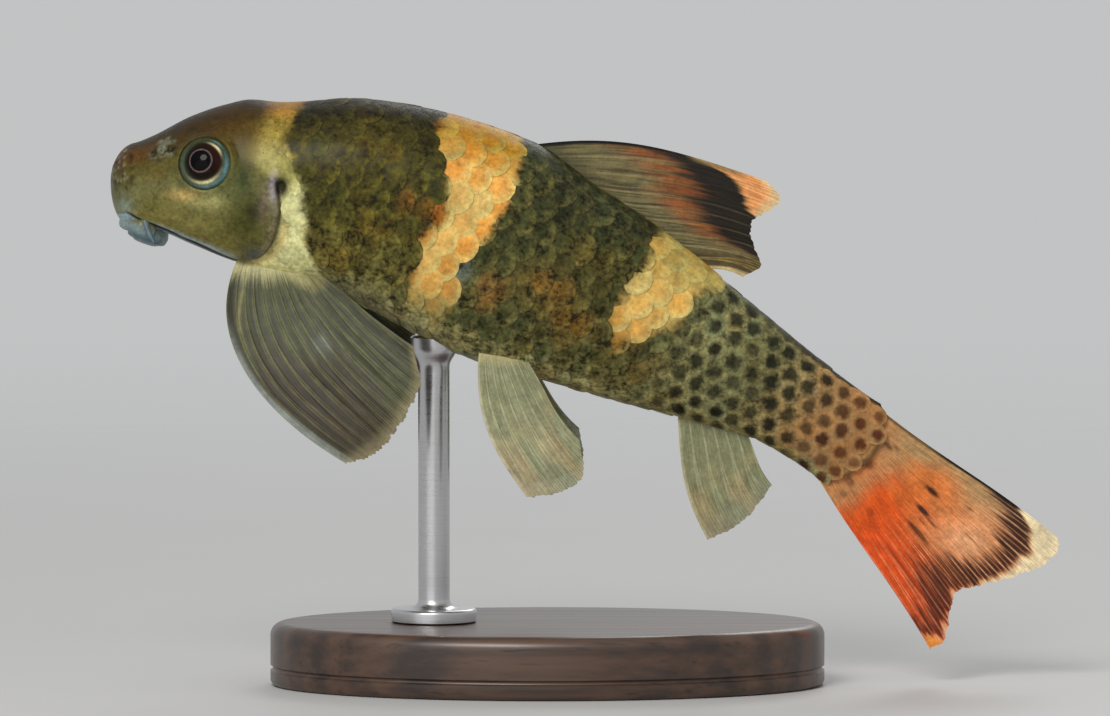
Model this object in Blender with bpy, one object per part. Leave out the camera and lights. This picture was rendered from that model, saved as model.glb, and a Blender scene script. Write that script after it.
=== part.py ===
"""Life-size model of a panda garra, a small barred fish, held in its swimming pose by a display stand.

Metres, +Z up; the sizes below are in millimetres and turned into metres as each mesh is made.
The fish faces -X and climbs towards its head, with its left side towards -Y. The origin is the
middle of the base's underside.

The body is one smooth surface, body_surface(s, t). s runs from 0 at the snout to 1 at the root of
the tail fin, along an axis whose heading is a curve through a few stations. t runs round the body:
0 is the right side, 90 degrees the back, 180 the left side and 270 the belly. Head, torso and tail
stalk are lengths of that surface, parted by thin cuts, and every other piece is placed on it.
"""

import bmesh
import bpy
import numpy as np

MM = 0.001
GAP = 0.3

# Body axis: where the snout is, how long the axis is, and its heading in degrees below level.
SNOUT_X, SNOUT_Z = -34.6, 39.9
BODY_LENGTH = 65.0
HEADING = (
    (0.00, -1),
    (0.12, 0),
    (0.25, 5),
    (0.40, 17),
    (0.52, 25),
    (0.70, 30),
    (0.85, 33),
    (1.00, 37),
    (1.10, 38),
)

# Place along the axis, height of the back, depth of the belly, half width, and how square the upper
# and lower halves of the section are (2 is an ellipse, more is squarer).
SECTIONS = (
    (0.00, 2.90, 3.90, 2.80, 2.3, 2.8),
    (0.03, 3.15, 3.52, 3.40, 2.3, 3.0),
    (0.05, 3.62, 3.65, 3.90, 2.3, 3.1),
    (0.10, 5.25, 4.90, 4.85, 2.2, 3.0),
    (0.14, 6.15, 5.95, 5.30, 2.2, 2.8),
    (0.17, 6.57, 6.55, 5.50, 2.2, 2.6),
    (0.20, 6.45, 6.92, 5.65, 2.2, 2.5),
    (0.30, 7.38, 8.40, 5.95, 2.1, 2.4),
    (0.40, 7.62, 9.65, 5.90, 2.0, 2.3),
    (0.48, 7.66, 10.25, 5.70, 2.0, 2.2),
    (0.54, 6.88, 10.00, 5.40, 2.0, 2.1),
    (0.62, 6.25, 9.15, 4.75, 2.0, 2.0),
    (0.70, 5.50, 7.90, 3.95, 2.0, 2.0),
    (0.80, 4.45, 6.10, 3.00, 2.0, 2.0),
    (0.90, 3.68, 4.40, 2.15, 2.0, 2.0),
    (0.96, 3.58, 4.15, 1.55, 2.0, 2.0),
    (1.00, 3.75, 4.35, 0.85, 2.0, 2.0),
    (1.10, 3.90, 4.50, 0.60, 2.0, 2.0),
)
SNOUT_ROUND = 0.03

# Where the thin cuts run: along the rear edge of the gill covers, and behind the dorsal fin.
HEAD_END, THROAT_END, THROAT_FROM = 0.210, 0.158, 12
TAIL_START = 0.745
TAIL_END, TAIL_END_BULGE = 0.985, 0.03

# The tail bends gently away to the right side, from here back.
SWAY, SWAY_FROM_X, SWAY_TO_X = 2.0, 5.0, 41.0

# Eye: a flattened ball, its place along the axis and above it, its radii, and how deep it sits.
EYE_S, EYE_UP = 0.1145, 1.5
EYE_RADIUS, EYE_DEPTH_RADIUS, EYE_SINK = 2.15, 1.6, 0.6

# Nostril: a raised flap with a pit before and behind it.
NOSTRIL_S, NOSTRIL_UP, NOSTRIL_PIT, NOSTRIL_APART = 0.0655, 2.6, 0.42, 0.72
FLAP_RADII, FLAP_PROUD = (0.36, 0.62, 0.72), 0.05

# Gill cover: its reach round the side, its width from the rear edge forwards, and its thickness.
COVER_TOP, COVER_BOTTOM, COVER_WIDTH, COVER_ROUND = 12.0, -64.0, 4.5, 0.95
COVER_PROUD, COVER_THICK = 0.15, 0.65
# The pocket round it is wider by the gap, which is an angle at this radius, and opens outwards and back.
COVER_RADIUS, POCKET_HIGH, POCKET_PAST = 6.0, 1.5, 1.2

# Mouth: a disc of skin under the chin, the upper lip round its front, and how steep the chin is.
MOUTH_X, MOUTH_Z, CHIN_SLOPE = -31.5, 36.3, 19.0
DISC_HALF_LENGTH, DISC_HALF_WIDTH, DISC_HANG, DISC_SINK = 1.65, 2.45, 1.25, 1.6
# The disc's share of its radius and of its hang: its side, its raised rim, a groove, and the pad.
DISC_PROFILE = (
    (0.92, 0.0),
    (1.00, 0.45),
    (0.97, 0.85),
    (0.85, 1.0),
    (0.68, 0.72),
    (0.50, 0.92),
    (0.25, 1.0),
)
DISC_NECK = 0.80
# The lip is a round bead held off the disc by a slot. It bends in to meet the disc at its two ends.
LIP_RADIUS, LIP_SLOT, LIP_HANG = 0.34, 0.24, 0.3
LIP_HALF_SWING, LIP_BEND_FROM = 100.0, 72.0

# Barbels: place along and round the head, length, root radius, tip radius. Each leaves the head
# outwards and back by these shares of its length and droops by a third.
BARBELS = ((0.024, -34, 2.1, 0.32, 0.13), (0.066, -50, 1.3, 0.30, 0.12))
BARBEL_OUT, BARBEL_BACK, BARBEL_DROOP, BARBEL_SINK = 0.6, 0.75, 0.5, 0.5

# Fins. Each row is one ray from the front of the fin (0) to its rear (1): place of its tip in
# x and z, and its direction where it leaves the body and at its tip, in degrees below level.
DORSAL_ROOT = (0.455, 0.685)
DORSAL = (
    (0.00, 17.6, 39.9, -10, 19),
    (0.12, 18.6, 38.6, -1, 22),
    (0.26, 17.4, 37.3, 7, 23),
    (0.42, 16.2, 36.5, 14, 22),
    (0.60, 16.4, 35.2, 20, 21),
    (0.86, 17.0, 33.2, 28, 25),
    (1.00, 15.5, 32.4, 34, 32),
)
PECTORAL_ROOT = ((0.166, -66), (0.238, -60))
PECTORAL = (
    (0.00, -15.5, 18.1, 122, 29),
    (0.20, -13.9, 18.7, 104, 33),
    (0.45, -12.3, 20.1, 82, 42),
    (0.70, -10.8, 22.3, 62, 42),
    (0.90, -9.9, 24.6, 46, 38),
    (1.00, -10.4, 27.3, 36, 33),
)
PELVIC_ROOT = ((0.515, -68), (0.565, -64))
PELVIC = (
    (0.00, -1.5, 15.4, 97, 52),
    (0.40, 1.4, 16.0, 76, 50),
    (0.75, 3.0, 17.6, 60, 46),
    (1.00, 2.6, 19.9, 50, 42),
)
ANAL_ROOT = (0.775, 0.85)
ANAL = (
    (0.00, 12.8, 11.4, 86, 60),
    (0.50, 15.7, 13.1, 68, 55),
    (1.00, 17.9, 15.8, 52, 48),
)
# The tail fin is forked: each tip lies this far and at this angle from the middle of its root.
CAUDAL_X, CAUDAL_Z = 25.0, 18.1
CAUDAL_ANGLES = (23, 70.5)
CAUDAL_REACH = (
    (0, 17.0),
    (0.08, 17.7),
    (0.2, 16.7),
    (0.36, 15.4),
    (0.58, 13.7),
    (0.67, 13.3),
    (0.8, 14.6),
    (0.94, 16.6),
    (1, 16.4),
)
CAUDAL_LEAVE, CAUDAL_FAN, CAUDAL_ROOT_SHARE, CAUDAL_ROOT_IN = (40, 60), 15, 0.86, 0.25

# Rays, and how far each fin stands off to the side: a slope and a curve along its length.
DORSAL_RAYS, CAUDAL_RAYS, ANAL_RAYS, PECTORAL_RAYS, PELVIC_RAYS = 10, 17, 7, 12, 8
PECTORAL_SPREAD, PELVIC_SPREAD = (0.50, -0.008), (0.62, -0.012)
DORSAL_LEAN, ANAL_LEAN, CAUDAL_LEAN = (0.05, 0.0), (-0.04, 0.0), (0.0, 0.0)
ROOT_SINK, RAY_HANDLE = 1.3, 0.42
MEMBRANE, RIDGE, TIP_THICKNESS = 0.5, 0.42, 0.24
# A ray fades by this share towards its tip, and the fin thins from this share of its length on.
RAY_FADE, THIN_FROM = 0.75, 0.8

# Display stand: an oval base and one round rod with a flange at its foot.
BASE_HALF_LENGTH, BASE_HALF_WIDTH, BASE_HEIGHT = 22.0, 14.0, 5.0
BASE_CHAMFER, BASE_BEVEL, BASE_EASE = 0.4, 1.0, 0.3
ROD_X, ROD_RADIUS, FLANGE_RADIUS, FLANGE_HEIGHT = -9.0, 1.25, 3.4, 1.2

# How finely each surface is divided. Rows crowd towards the snout by this power.
ROUND_BODY, HEAD_ROWS, TORSO_ROWS, TAIL_ROWS, CLEAR_ROWS = 28, 20, 20, 10, 60
HEAD_CROWDING, LONG_FIN_ROWS, SHORT_FIN_ROWS = 1.6, 7, 5
BODY_CAP = (0.82, 0.45)


def smooth_through(stations, place, column=1):
    """Reads a smooth curve through the stations that never overshoots them (a monotone cubic)."""
    table = np.asarray(stations, float)
    x, y = table[:, 0], table[:, column]
    step = np.diff(x)
    rise = np.diff(y) / step
    slope = np.concatenate([rise[:1], np.zeros(len(x) - 2), rise[-1:]])
    same_way = rise[:-1] * rise[1:] > 0
    before, after = 2 * step[1:] + step[:-1], step[1:] + 2 * step[:-1]
    left, right = np.where(same_way, rise[:-1], 1), np.where(same_way, rise[1:], 1)
    slope[1:-1] = np.where(same_way, (before + after) / (before / left + after / right), 0)
    place = np.asarray(place, float)
    k = np.clip(np.searchsorted(x, place, side="right") - 1, 0, len(x) - 2)
    u = (place - x[k]) / step[k]
    return (
        (1 + 2 * u) * (1 - u) ** 2 * y[k]
        + u * (1 - u) ** 2 * step[k] * slope[k]
        + u * u * (3 - 2 * u) * y[k + 1]
        + u * u * (u - 1) * step[k] * slope[k + 1]
    )


AXIS_S = np.linspace(-0.02, 1.1, 561)
AXIS_HEADING = np.radians(smooth_through(HEADING, np.maximum(AXIS_S, 0)))
AXIS_STEP = BODY_LENGTH * (AXIS_S[1] - AXIS_S[0])


def axis_track(along, start):
    """Adds up one coordinate of the axis from its heading, so that it passes the snout at s = 0."""
    middle = (along[1:] + along[:-1]) / 2
    track = np.concatenate([[0], np.cumsum(middle) * AXIS_STEP])
    return track - np.interp(0, AXIS_S, track) + start


AXIS_X = axis_track(np.cos(AXIS_HEADING), SNOUT_X)
AXIS_Z = axis_track(-np.sin(AXIS_HEADING), SNOUT_Z)


def body_surface(s, t, grow=0.0, inward=1.0):
    """Point of the body at place s and angle t in degrees, pushed out by grow, or drawn in to the axis.

    The section is cos t times the half width by sin t times the height, drawn out towards its
    corners by the squareness, and it closes at the snout as a quarter circle.
    """
    s, t, grow, inward = np.broadcast_arrays(s, t, grow, inward)
    across, upright = np.cos(np.radians(t)), np.sin(np.radians(t))
    back, belly, half_width = (smooth_through(SECTIONS, np.maximum(s, 0), k) for k in (1, 2, 3))
    square = np.where(upright > 0, smooth_through(SECTIONS, s, 4), smooth_through(SECTIONS, s, 5))
    corner = (np.abs(across) ** square + np.abs(upright) ** square) ** (-1 / square)
    height = np.where(upright > 0, back, belly)
    to_round = np.clip(1 - s / SNOUT_ROUND, 0, 1)
    closing = np.sqrt(1 - to_round**2) * inward
    y = closing * corner * (half_width + grow) * across
    off_axis = closing * corner * (height + grow) * upright
    ahead = grow * to_round
    heading = np.interp(s, AXIS_S, AXIS_HEADING)
    x = np.interp(s, AXIS_S, AXIS_X) + np.sin(heading) * off_axis - np.cos(heading) * ahead
    z = np.interp(s, AXIS_S, AXIS_Z) + np.cos(heading) * off_axis + np.sin(heading) * ahead
    return np.stack([x, y, z], axis=-1)


def body_frame(s, t):
    """Point of the body, and its unit directions outwards, backwards and round the body."""
    small = 0.002
    point = body_surface(s, t)
    back = body_surface(s + small, t) - body_surface(s - small, t)
    around = body_surface(s, t + 1) - body_surface(s, t - 1)
    out = np.cross(back, around)
    out = out / np.linalg.norm(out)
    middle = body_surface(s, t, inward=0.0)
    if np.dot(out, point - middle) < 0:
        out = -out
    back = back / np.linalg.norm(back)
    return point, out, back, np.cross(out, back)


def angle_at_height(s, up, left):
    """Angle t on one side of the body where its surface lies this far above the axis."""
    t = np.degrees(np.arcsin(up / smooth_through(SECTIONS, s, 1)))
    return 180 - t if left else t


def sway(points):
    """Bends the rear of the fish sideways, growing with the square of the distance back."""
    back = np.clip((points[..., 0] - SWAY_FROM_X) / (SWAY_TO_X - SWAY_FROM_X), 0, None)
    return points + np.stack([0 * back, SWAY * back**2, 0 * back], axis=-1)


def rings_mesh(rings, first, last):
    """Closed mesh over a stack of rings of equal count, with a point at each end."""
    rings = np.asarray(rings, float)
    rows, columns = rings.shape[:2]
    points = np.vstack([rings.reshape(-1, 3), [first], [last]])
    index = np.arange(rows * columns).reshape(rows, columns)
    ahead = np.roll(index, -1, axis=1)
    sides = np.stack([index[:-1], ahead[:-1], ahead[1:], index[1:]], axis=-1).reshape(-1, 4)
    first_fan = np.stack([ahead[0], index[0], np.full(columns, rows * columns)], axis=-1)
    last_fan = np.stack([index[-1], ahead[-1], np.full(columns, rows * columns + 1)], axis=-1)
    return points, sides.tolist() + first_fan.tolist() + last_fan.tolist()


def sheet_mesh(front, back):
    """Closed mesh between two grids of equal shape, split into triangles alike on both."""
    rows, columns = front.shape[:2]
    points = np.vstack([front.reshape(-1, 3), back.reshape(-1, 3)])
    index = np.arange(rows * columns).reshape(rows, columns)
    a, b, c, d = index[:-1, :-1], index[:-1, 1:], index[1:, 1:], index[1:, :-1]
    face = np.concatenate([np.stack([a, b, c], -1), np.stack([a, c, d], -1)]).reshape(-1, 3)
    rim = np.concatenate([index[0, :-1], index[:-1, -1], index[-1, :0:-1], index[:0:-1, 0]])
    after, under = np.roll(rim, -1), rows * columns
    edge = np.stack([after, rim, rim + under, after + under], -1)
    return points, face.tolist() + (face[:, ::-1] + under).tolist() + edge.tolist()


def material_named(name, colour, roughness, metallic=0.0):
    material = bpy.data.materials.new(name)
    material.use_nodes = True
    shader = material.node_tree.nodes["Principled BSDF"]
    shader.inputs["Base Color"].default_value = (*colour, 1)
    shader.inputs["Roughness"].default_value = roughness
    shader.inputs["Metallic"].default_value = metallic
    material.diffuse_color = (*colour, 1)
    return material


def solid(name, points, faces, bend=True):
    """Object from points in millimetres, its faces turned outwards and shaded smooth."""
    points = np.asarray(points, float)
    points = (sway(points) if bend else points) * MM
    mesh = bpy.data.meshes.new(name)
    mesh.from_pydata(points.tolist(), [], faces)
    shape = bmesh.new()
    shape.from_mesh(mesh)
    bmesh.ops.recalc_face_normals(shape, faces=shape.faces)
    if shape.calc_volume(signed=True) < 0:
        bmesh.ops.reverse_faces(shape, faces=shape.faces)
    shape.to_mesh(mesh)
    shape.free()
    piece = bpy.data.objects.new(name, mesh)
    bpy.context.scene.collection.objects.link(piece)
    return piece


def keep_largest(mesh):
    """Leaves only the closed surface with the most faces."""
    shape = bmesh.new()
    shape.from_mesh(mesh)
    left = set(shape.verts)
    bodies = []
    while left:
        body, reached = set(), [left.pop()]
        while reached:
            point = reached.pop()
            body.add(point)
            joined = [edge.other_vert(point) for edge in point.link_edges]
            reached += [other for other in joined if other in left]
            left.difference_update(joined)
        bodies.append(body)
    bodies.sort(key=len)
    scraps = [point for body in bodies[:-1] for point in body]
    bmesh.ops.delete(shape, geom=scraps, context="VERTS")
    shape.to_mesh(mesh)
    shape.free()


def boolean(target, others, operation):
    """Joins the others to the target, or cuts them from it, by one applied Boolean."""
    group = bpy.data.collections.new("pieces")
    for piece in others:
        group.objects.link(piece)
    modifier = target.modifiers.new(operation.lower(), "BOOLEAN")
    modifier.operation = operation
    modifier.operand_type = "COLLECTION"
    modifier.collection = group
    graph = bpy.context.evaluated_depsgraph_get()
    mesh = bpy.data.meshes.new_from_object(target.evaluated_get(graph))
    target.modifiers.clear()
    target.data = mesh
    for piece in others:
        bpy.data.objects.remove(piece, do_unlink=True)
    bpy.data.collections.remove(group)
    keep_largest(mesh)


def finish(piece, material, sharp=0.6):
    piece.data.materials.clear()
    piece.data.materials.append(material)
    piece.data.shade_smooth()
    piece.data.set_sharp_from_angle(angle=sharp)


def head_end(t):
    """Place of the cut behind the head: level over the back and sides, running forwards to the throat."""
    below = -np.sin(np.radians(t)) - np.sin(np.radians(THROAT_FROM))
    share = np.clip(below / (1 - np.sin(np.radians(THROAT_FROM))), 0, 1)
    return HEAD_END - (HEAD_END - THROAT_END) * share**2


def tail_start(t):
    """Place of the cut behind the dorsal fin: level all round."""
    return TAIL_START + 0 * t


def tail_end(t):
    """Rear end of the tail stalk: rounded as seen from the side."""
    return TAIL_END + TAIL_END_BULGE * np.cos(np.radians(t)) ** 2


def past(cut):
    """The same cut one gap further back."""
    return lambda t: cut(t) + GAP / BODY_LENGTH


def body_length(start, end, rows, grow=0.0):
    """Closed length of the body between two cuts, each a function of t, or None for the snout."""
    t = np.arange(ROUND_BODY) * 360 / ROUND_BODY
    last_s = end(t)
    if start is None:
        share = (np.arange(1, rows + 1) / rows) ** HEAD_CROWDING
        s = share[:, None] * last_s
        rings = list(body_surface(s, t, grow))
        first = body_surface(0.0, 0.0, grow)
    else:
        first_s = start(t)
        share = np.linspace(0, 1, rows + 1)[:, None]
        s = first_s + (last_s - first_s) * share
        middle = first_s.mean()
        cap = [body_surface(middle + (first_s - middle) * r * r, t, grow, r) for r in reversed(BODY_CAP)]
        rings = cap + list(body_surface(s, t, grow))
        first = body_surface(middle, 0.0, inward=0.0)
    middle = last_s.mean()
    rings += [body_surface(middle + (last_s - middle) * r * r, t, grow, r) for r in BODY_CAP]
    return rings_mesh(rings, first, body_surface(middle, 0.0, inward=0.0))


def clearance():
    """The whole body grown by the gap: what every fin root, the mouth and the rod are cut with."""
    return solid("clearance", *body_length(None, past(tail_end), CLEAR_ROWS, GAP))


def ball(name, centre, axes, radii, rounds=16, rows=8):
    """Ellipsoid with its pole along the first axis."""
    centre, axes = np.asarray(centre), np.asarray(axes)
    turn = np.arange(rounds) * 2 * np.pi / rounds
    rings = []
    for angle in np.arange(1, rows) * np.pi / rows:
        across = np.cos(turn)[:, None] * axes[1] * radii[1] + np.sin(turn)[:, None] * axes[2] * radii[2]
        rings.append(centre + np.cos(angle) * radii[0] * axes[0] + np.sin(angle) * across)
    return solid(name, *rings_mesh(rings, centre + axes[0] * radii[0], centre - axes[0] * radii[0]))


def tube(name, path, radii, sides=8, up=(0, 0, 1)):
    """Round tube along a path, with its radius at each point and a blunt point at each end."""
    path, radii = np.asarray(path, float), np.asarray(radii, float)
    along = np.gradient(path, axis=0)
    along = along / np.linalg.norm(along, axis=1)[:, None]
    side = np.cross(along, up)
    side = side / np.linalg.norm(side, axis=1)[:, None]
    other = np.cross(along, side)
    turn = np.arange(sides) * 2 * np.pi / sides
    spoke = np.cos(turn)[:, None] * side[:, None] + np.sin(turn)[:, None] * other[:, None]
    rings = path[:, None] + radii[:, None, None] * spoke
    first, last = path[0] - along[0] * radii[0] / 2, path[-1] + along[-1] * radii[-1] / 2
    return solid(name, *rings_mesh(rings, first, last))


def make_eye(side, left, material):
    """Eye, and the socket that is cut in the head for it."""
    point, out, back, around = body_frame(EYE_S, angle_at_height(EYE_S, EYE_UP, left))
    radii = np.array([EYE_DEPTH_RADIUS, EYE_RADIUS, EYE_RADIUS])
    centre = point - out * EYE_SINK
    eye = ball(f"eye_{side}", centre, (out, back, around), radii)
    finish(eye, material)
    return ball("socket", centre, (out, back, around), radii + GAP)


def cover_patch(left, spare, low, high):
    """Patch of the head's side between its rear edge and a rounded front edge."""
    q = -np.cos(np.linspace(0, np.pi, 11))[None, :]
    half_turn = (COVER_TOP - COVER_BOTTOM) / 2 + np.degrees(spare / COVER_RADIUS)
    t = (COVER_TOP + COVER_BOTTOM) / 2 - half_turn * q
    width = COVER_WIDTH * np.sqrt(1 - COVER_ROUND * q * q) + spare
    p = np.linspace(0, 1, 6)[:, None]
    behind = POCKET_PAST if spare else 0
    s = head_end(t) + (behind * p - width * (1 - p)) / BODY_LENGTH
    t = 180 - t + 0 * p if left else t + 0 * p
    return sheet_mesh(body_surface(s, t, high), body_surface(s, t, low))


def make_gill_cover(side, left, material):
    """Gill cover as a curved flap, and the pocket that is cut in the head for it."""
    cover = solid(f"gill_cover_{side}", *cover_patch(left, 0.0, COVER_PROUD - COVER_THICK, COVER_PROUD))
    finish(cover, material)
    return solid("pocket", *cover_patch(left, GAP, COVER_PROUD - COVER_THICK - GAP, POCKET_HIGH))


def nostril(left):
    """Flap and its two pits on one side of the snout."""
    point, out, back, around = body_frame(NOSTRIL_S, angle_at_height(NOSTRIL_S, NOSTRIL_UP, left))
    flap = ball("flap", point + out * FLAP_PROUD, (back, out, around), FLAP_RADII, 12, 8)
    pits = [
        ball("pit", point + back * move, (out, back, around), [NOSTRIL_PIT] * 3, 8, 6)
        for move in (-NOSTRIL_APART, NOSTRIL_APART)
    ]
    return flap, pits


def barbel(s, t, length, root_radius, tip_radius, left):
    """Short feeler that leaves the head outwards and back and bends down."""
    point, out, back, _ = body_frame(s, 180 - t if left else t)
    down = np.array([0, 0, -1.0])
    v = np.linspace(0, 1, 6)[:, None]
    reach = (out * BARBEL_OUT + back * BARBEL_BACK) * v + down * BARBEL_DROOP * v**2
    path = point - out * BARBEL_SINK + reach * length
    return tube("barbel", path, root_radius + (tip_radius - root_radius) * v[:, 0], 6)


def make_head(skin, eye_material):
    head = solid("head", *body_length(None, head_end, HEAD_ROWS))
    feelers, cutters = [], []
    for side, left in (("left", True), ("right", False)):
        cutters.append(make_eye(side, left, eye_material))
        cutters.append(make_gill_cover(side, left, skin))
        flap, pits = nostril(left)
        feelers.append(flap)
        cutters += pits
        feelers += [barbel(*sizes, left) for sizes in BARBELS]
    boolean(head, feelers, "UNION")
    boolean(head, cutters, "DIFFERENCE")
    finish(head, skin)


def make_mouth(material):
    """Disc of the lower lip with its raised rim and pad, and the upper lip that runs round its front."""
    slope = np.radians(CHIN_SLOPE)
    along = np.array([np.cos(slope), 0, -np.sin(slope)])
    across = np.array([0, 1.0, 0])
    down = np.array([-np.sin(slope), 0, -np.cos(slope)])
    centre = np.array([MOUTH_X, 0, MOUTH_Z])
    turn = np.arange(24)[:, None] * 2 * np.pi / 24
    oval = np.cos(turn) * along * DISC_HALF_LENGTH + np.sin(turn) * across * DISC_HALF_WIDTH
    rings = [centre + oval * DISC_NECK - down * DISC_SINK]
    rings += [centre + oval * share + down * depth * DISC_HANG for share, depth in DISC_PROFILE]
    disc = solid("mouth", *rings_mesh(rings, centre - down * DISC_SINK, centre + down * DISC_HANG))
    from_front = np.linspace(-LIP_HALF_SWING, LIP_HALF_SWING, 19)[:, None]
    swing = np.radians(180 + from_front)
    bent_in = np.clip((np.abs(from_front) - LIP_BEND_FROM) / (LIP_HALF_SWING - LIP_BEND_FROM), 0, 1)
    reach = (LIP_SLOT + LIP_RADIUS) * (1 - bent_in)
    path = centre + down * LIP_HANG
    path = path + np.cos(swing) * along * (DISC_HALF_LENGTH + reach)
    path = path + np.sin(swing) * across * (DISC_HALF_WIDTH + reach)
    lip = tube("lip", path, np.full(len(path), LIP_RADIUS), 8, up=down)
    boolean(disc, [lip], "UNION")
    boolean(disc, [clearance()], "DIFFERENCE")
    finish(disc, material)


def ray_columns(count):
    """Places of the columns across a fin, and which of them run along a ray.

    Each ray is a narrow ridge: a column along it and one at each flank, with flat skin between.
    """
    gaps = np.arange(count - 1)[:, None] + np.array([0, 0.25, 0.75])
    columns = np.append(gaps.ravel(), count - 1)
    return columns / (count - 1), columns == np.round(columns)


def fan(root, tip, leave, arrive, v):
    """Rays as curves from root to tip in the plane of the body, each leaving and arriving at its angle.

    Each ray is a cubic whose two handles are a set share of the distance from its root to its tip.
    """
    reach = RAY_HANDLE * np.linalg.norm(tip - root, axis=1)[:, None]
    first = root + reach * np.stack([np.cos(leave), -np.sin(leave)], axis=1)
    second = tip - reach * np.stack([np.cos(arrive), -np.sin(arrive)], axis=1)
    v = v[:, None, None]
    return (1 - v) ** 3 * root + 3 * v * (1 - v) ** 2 * first + 3 * v * v * (1 - v) * second + v**3 * tip


def make_fin(name, rays, count, root, rows, aside, material):
    """Fin as a membrane with its rays raised on both faces, cut to meet the body face to face.

    rays has each ray's tip and its two angles, root gives its start inside the body, and aside is
    the slope and the curve by which the fin stands off to the side along its length.
    """
    u, on_ray = ray_columns(count)
    tip = np.stack([smooth_through(rays, u, 1), smooth_through(rays, u, 2)], axis=1)
    leave, arrive = (np.radians(smooth_through(rays, u, k)) for k in (3, 4))
    start = root(u)
    v = np.linspace(0, 1, rows + 1) ** 0.9
    flat = fan(start[:, [0, 2]], tip, leave, arrive, v)
    step = np.linalg.norm(np.diff(flat, axis=0), axis=2)
    run = np.concatenate([np.zeros((1, len(u))), np.cumsum(step, axis=0)])
    y = start[:, 1] + aside[0] * run + aside[1] * run**2
    middle = np.stack([flat[..., 0], y, flat[..., 1]], axis=-1)
    face = np.cross(np.gradient(middle, axis=0), np.gradient(middle, axis=1))
    face = face / np.linalg.norm(face, axis=-1, keepdims=True)
    ridge = RIDGE * np.where(on_ray, 1 - RAY_FADE * v[:, None] ** 1.5, 0)
    thin = np.clip((v[:, None] - THIN_FROM) / (1 - THIN_FROM), 0, 1)
    thick = (MEMBRANE + ridge) * (1 - thin) + TIP_THICKNESS * thin
    half = face * thick[..., None] / 2
    fin = solid(name, *sheet_mesh(middle + half, middle - half))
    boolean(fin, [clearance()], "DIFFERENCE")
    finish(fin, material)


def on_midline(ends, t):
    """Root of a fin on the back or belly, sunk below the skin, by the place across the fin."""
    return lambda u: body_surface(ends[0] + (ends[1] - ends[0]) * u, t, -ROOT_SINK) * (1, 0, 1)


def on_side(ends, left):
    """Root of a paired fin between two places low on the body's side, sunk below the skin."""

    def root(u):
        s = ends[0][0] + (ends[1][0] - ends[0][0]) * u
        t = ends[0][1] + (ends[1][1] - ends[0][1]) * u
        return body_surface(s, 180 - t if left else t, -ROOT_SINK)

    return root


def caudal_rays():
    """Rays of the tail fin, fanned out from the middle of its root."""
    share = np.linspace(0, 1, CAUDAL_FAN)
    angle = np.radians(np.linspace(*CAUDAL_ANGLES, CAUDAL_FAN))
    reach = smooth_through(CAUDAL_REACH, share)
    leave = np.linspace(*CAUDAL_LEAVE, CAUDAL_FAN)
    x, z = CAUDAL_X + reach * np.cos(angle), CAUDAL_Z - reach * np.sin(angle)
    return np.stack([share, x, z, leave, leave], axis=1)


def caudal_root(u):
    """Root of the tail fin, from the top of the tail stalk's rounded end to its bottom."""
    t = np.degrees(np.arcsin(np.clip(1 - 2 * u, -1, 1))) * CAUDAL_ROOT_SHARE
    s = tail_end(t) - ROOT_SINK / BODY_LENGTH
    return body_surface(s, t, -CAUDAL_ROOT_IN) * (1, 0, 1)


def make_fins(dark_fin, pale_fin, red_fin):
    back, vent = on_midline(DORSAL_ROOT, 90.0), on_midline(ANAL_ROOT, -90.0)
    make_fin("dorsal_fin", DORSAL, DORSAL_RAYS, back, LONG_FIN_ROWS, DORSAL_LEAN, dark_fin)
    make_fin("anal_fin", ANAL, ANAL_RAYS, vent, SHORT_FIN_ROWS, ANAL_LEAN, pale_fin)
    make_fin("caudal_fin", caudal_rays(), CAUDAL_RAYS, caudal_root, LONG_FIN_ROWS, CAUDAL_LEAN, red_fin)
    for side, left in (("left", True), ("right", False)):
        out = np.array(-1.0 if left else 1.0)
        breast, belly = on_side(PECTORAL_ROOT, left), on_side(PELVIC_ROOT, left)
        name, spread = f"pectoral_fin_{side}", out * PECTORAL_SPREAD
        make_fin(name, PECTORAL, PECTORAL_RAYS, breast, LONG_FIN_ROWS, spread, dark_fin)
        name, spread = f"pelvic_fin_{side}", out * PELVIC_SPREAD
        make_fin(name, PELVIC, PELVIC_RAYS, belly, SHORT_FIN_ROWS, spread, pale_fin)


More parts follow.
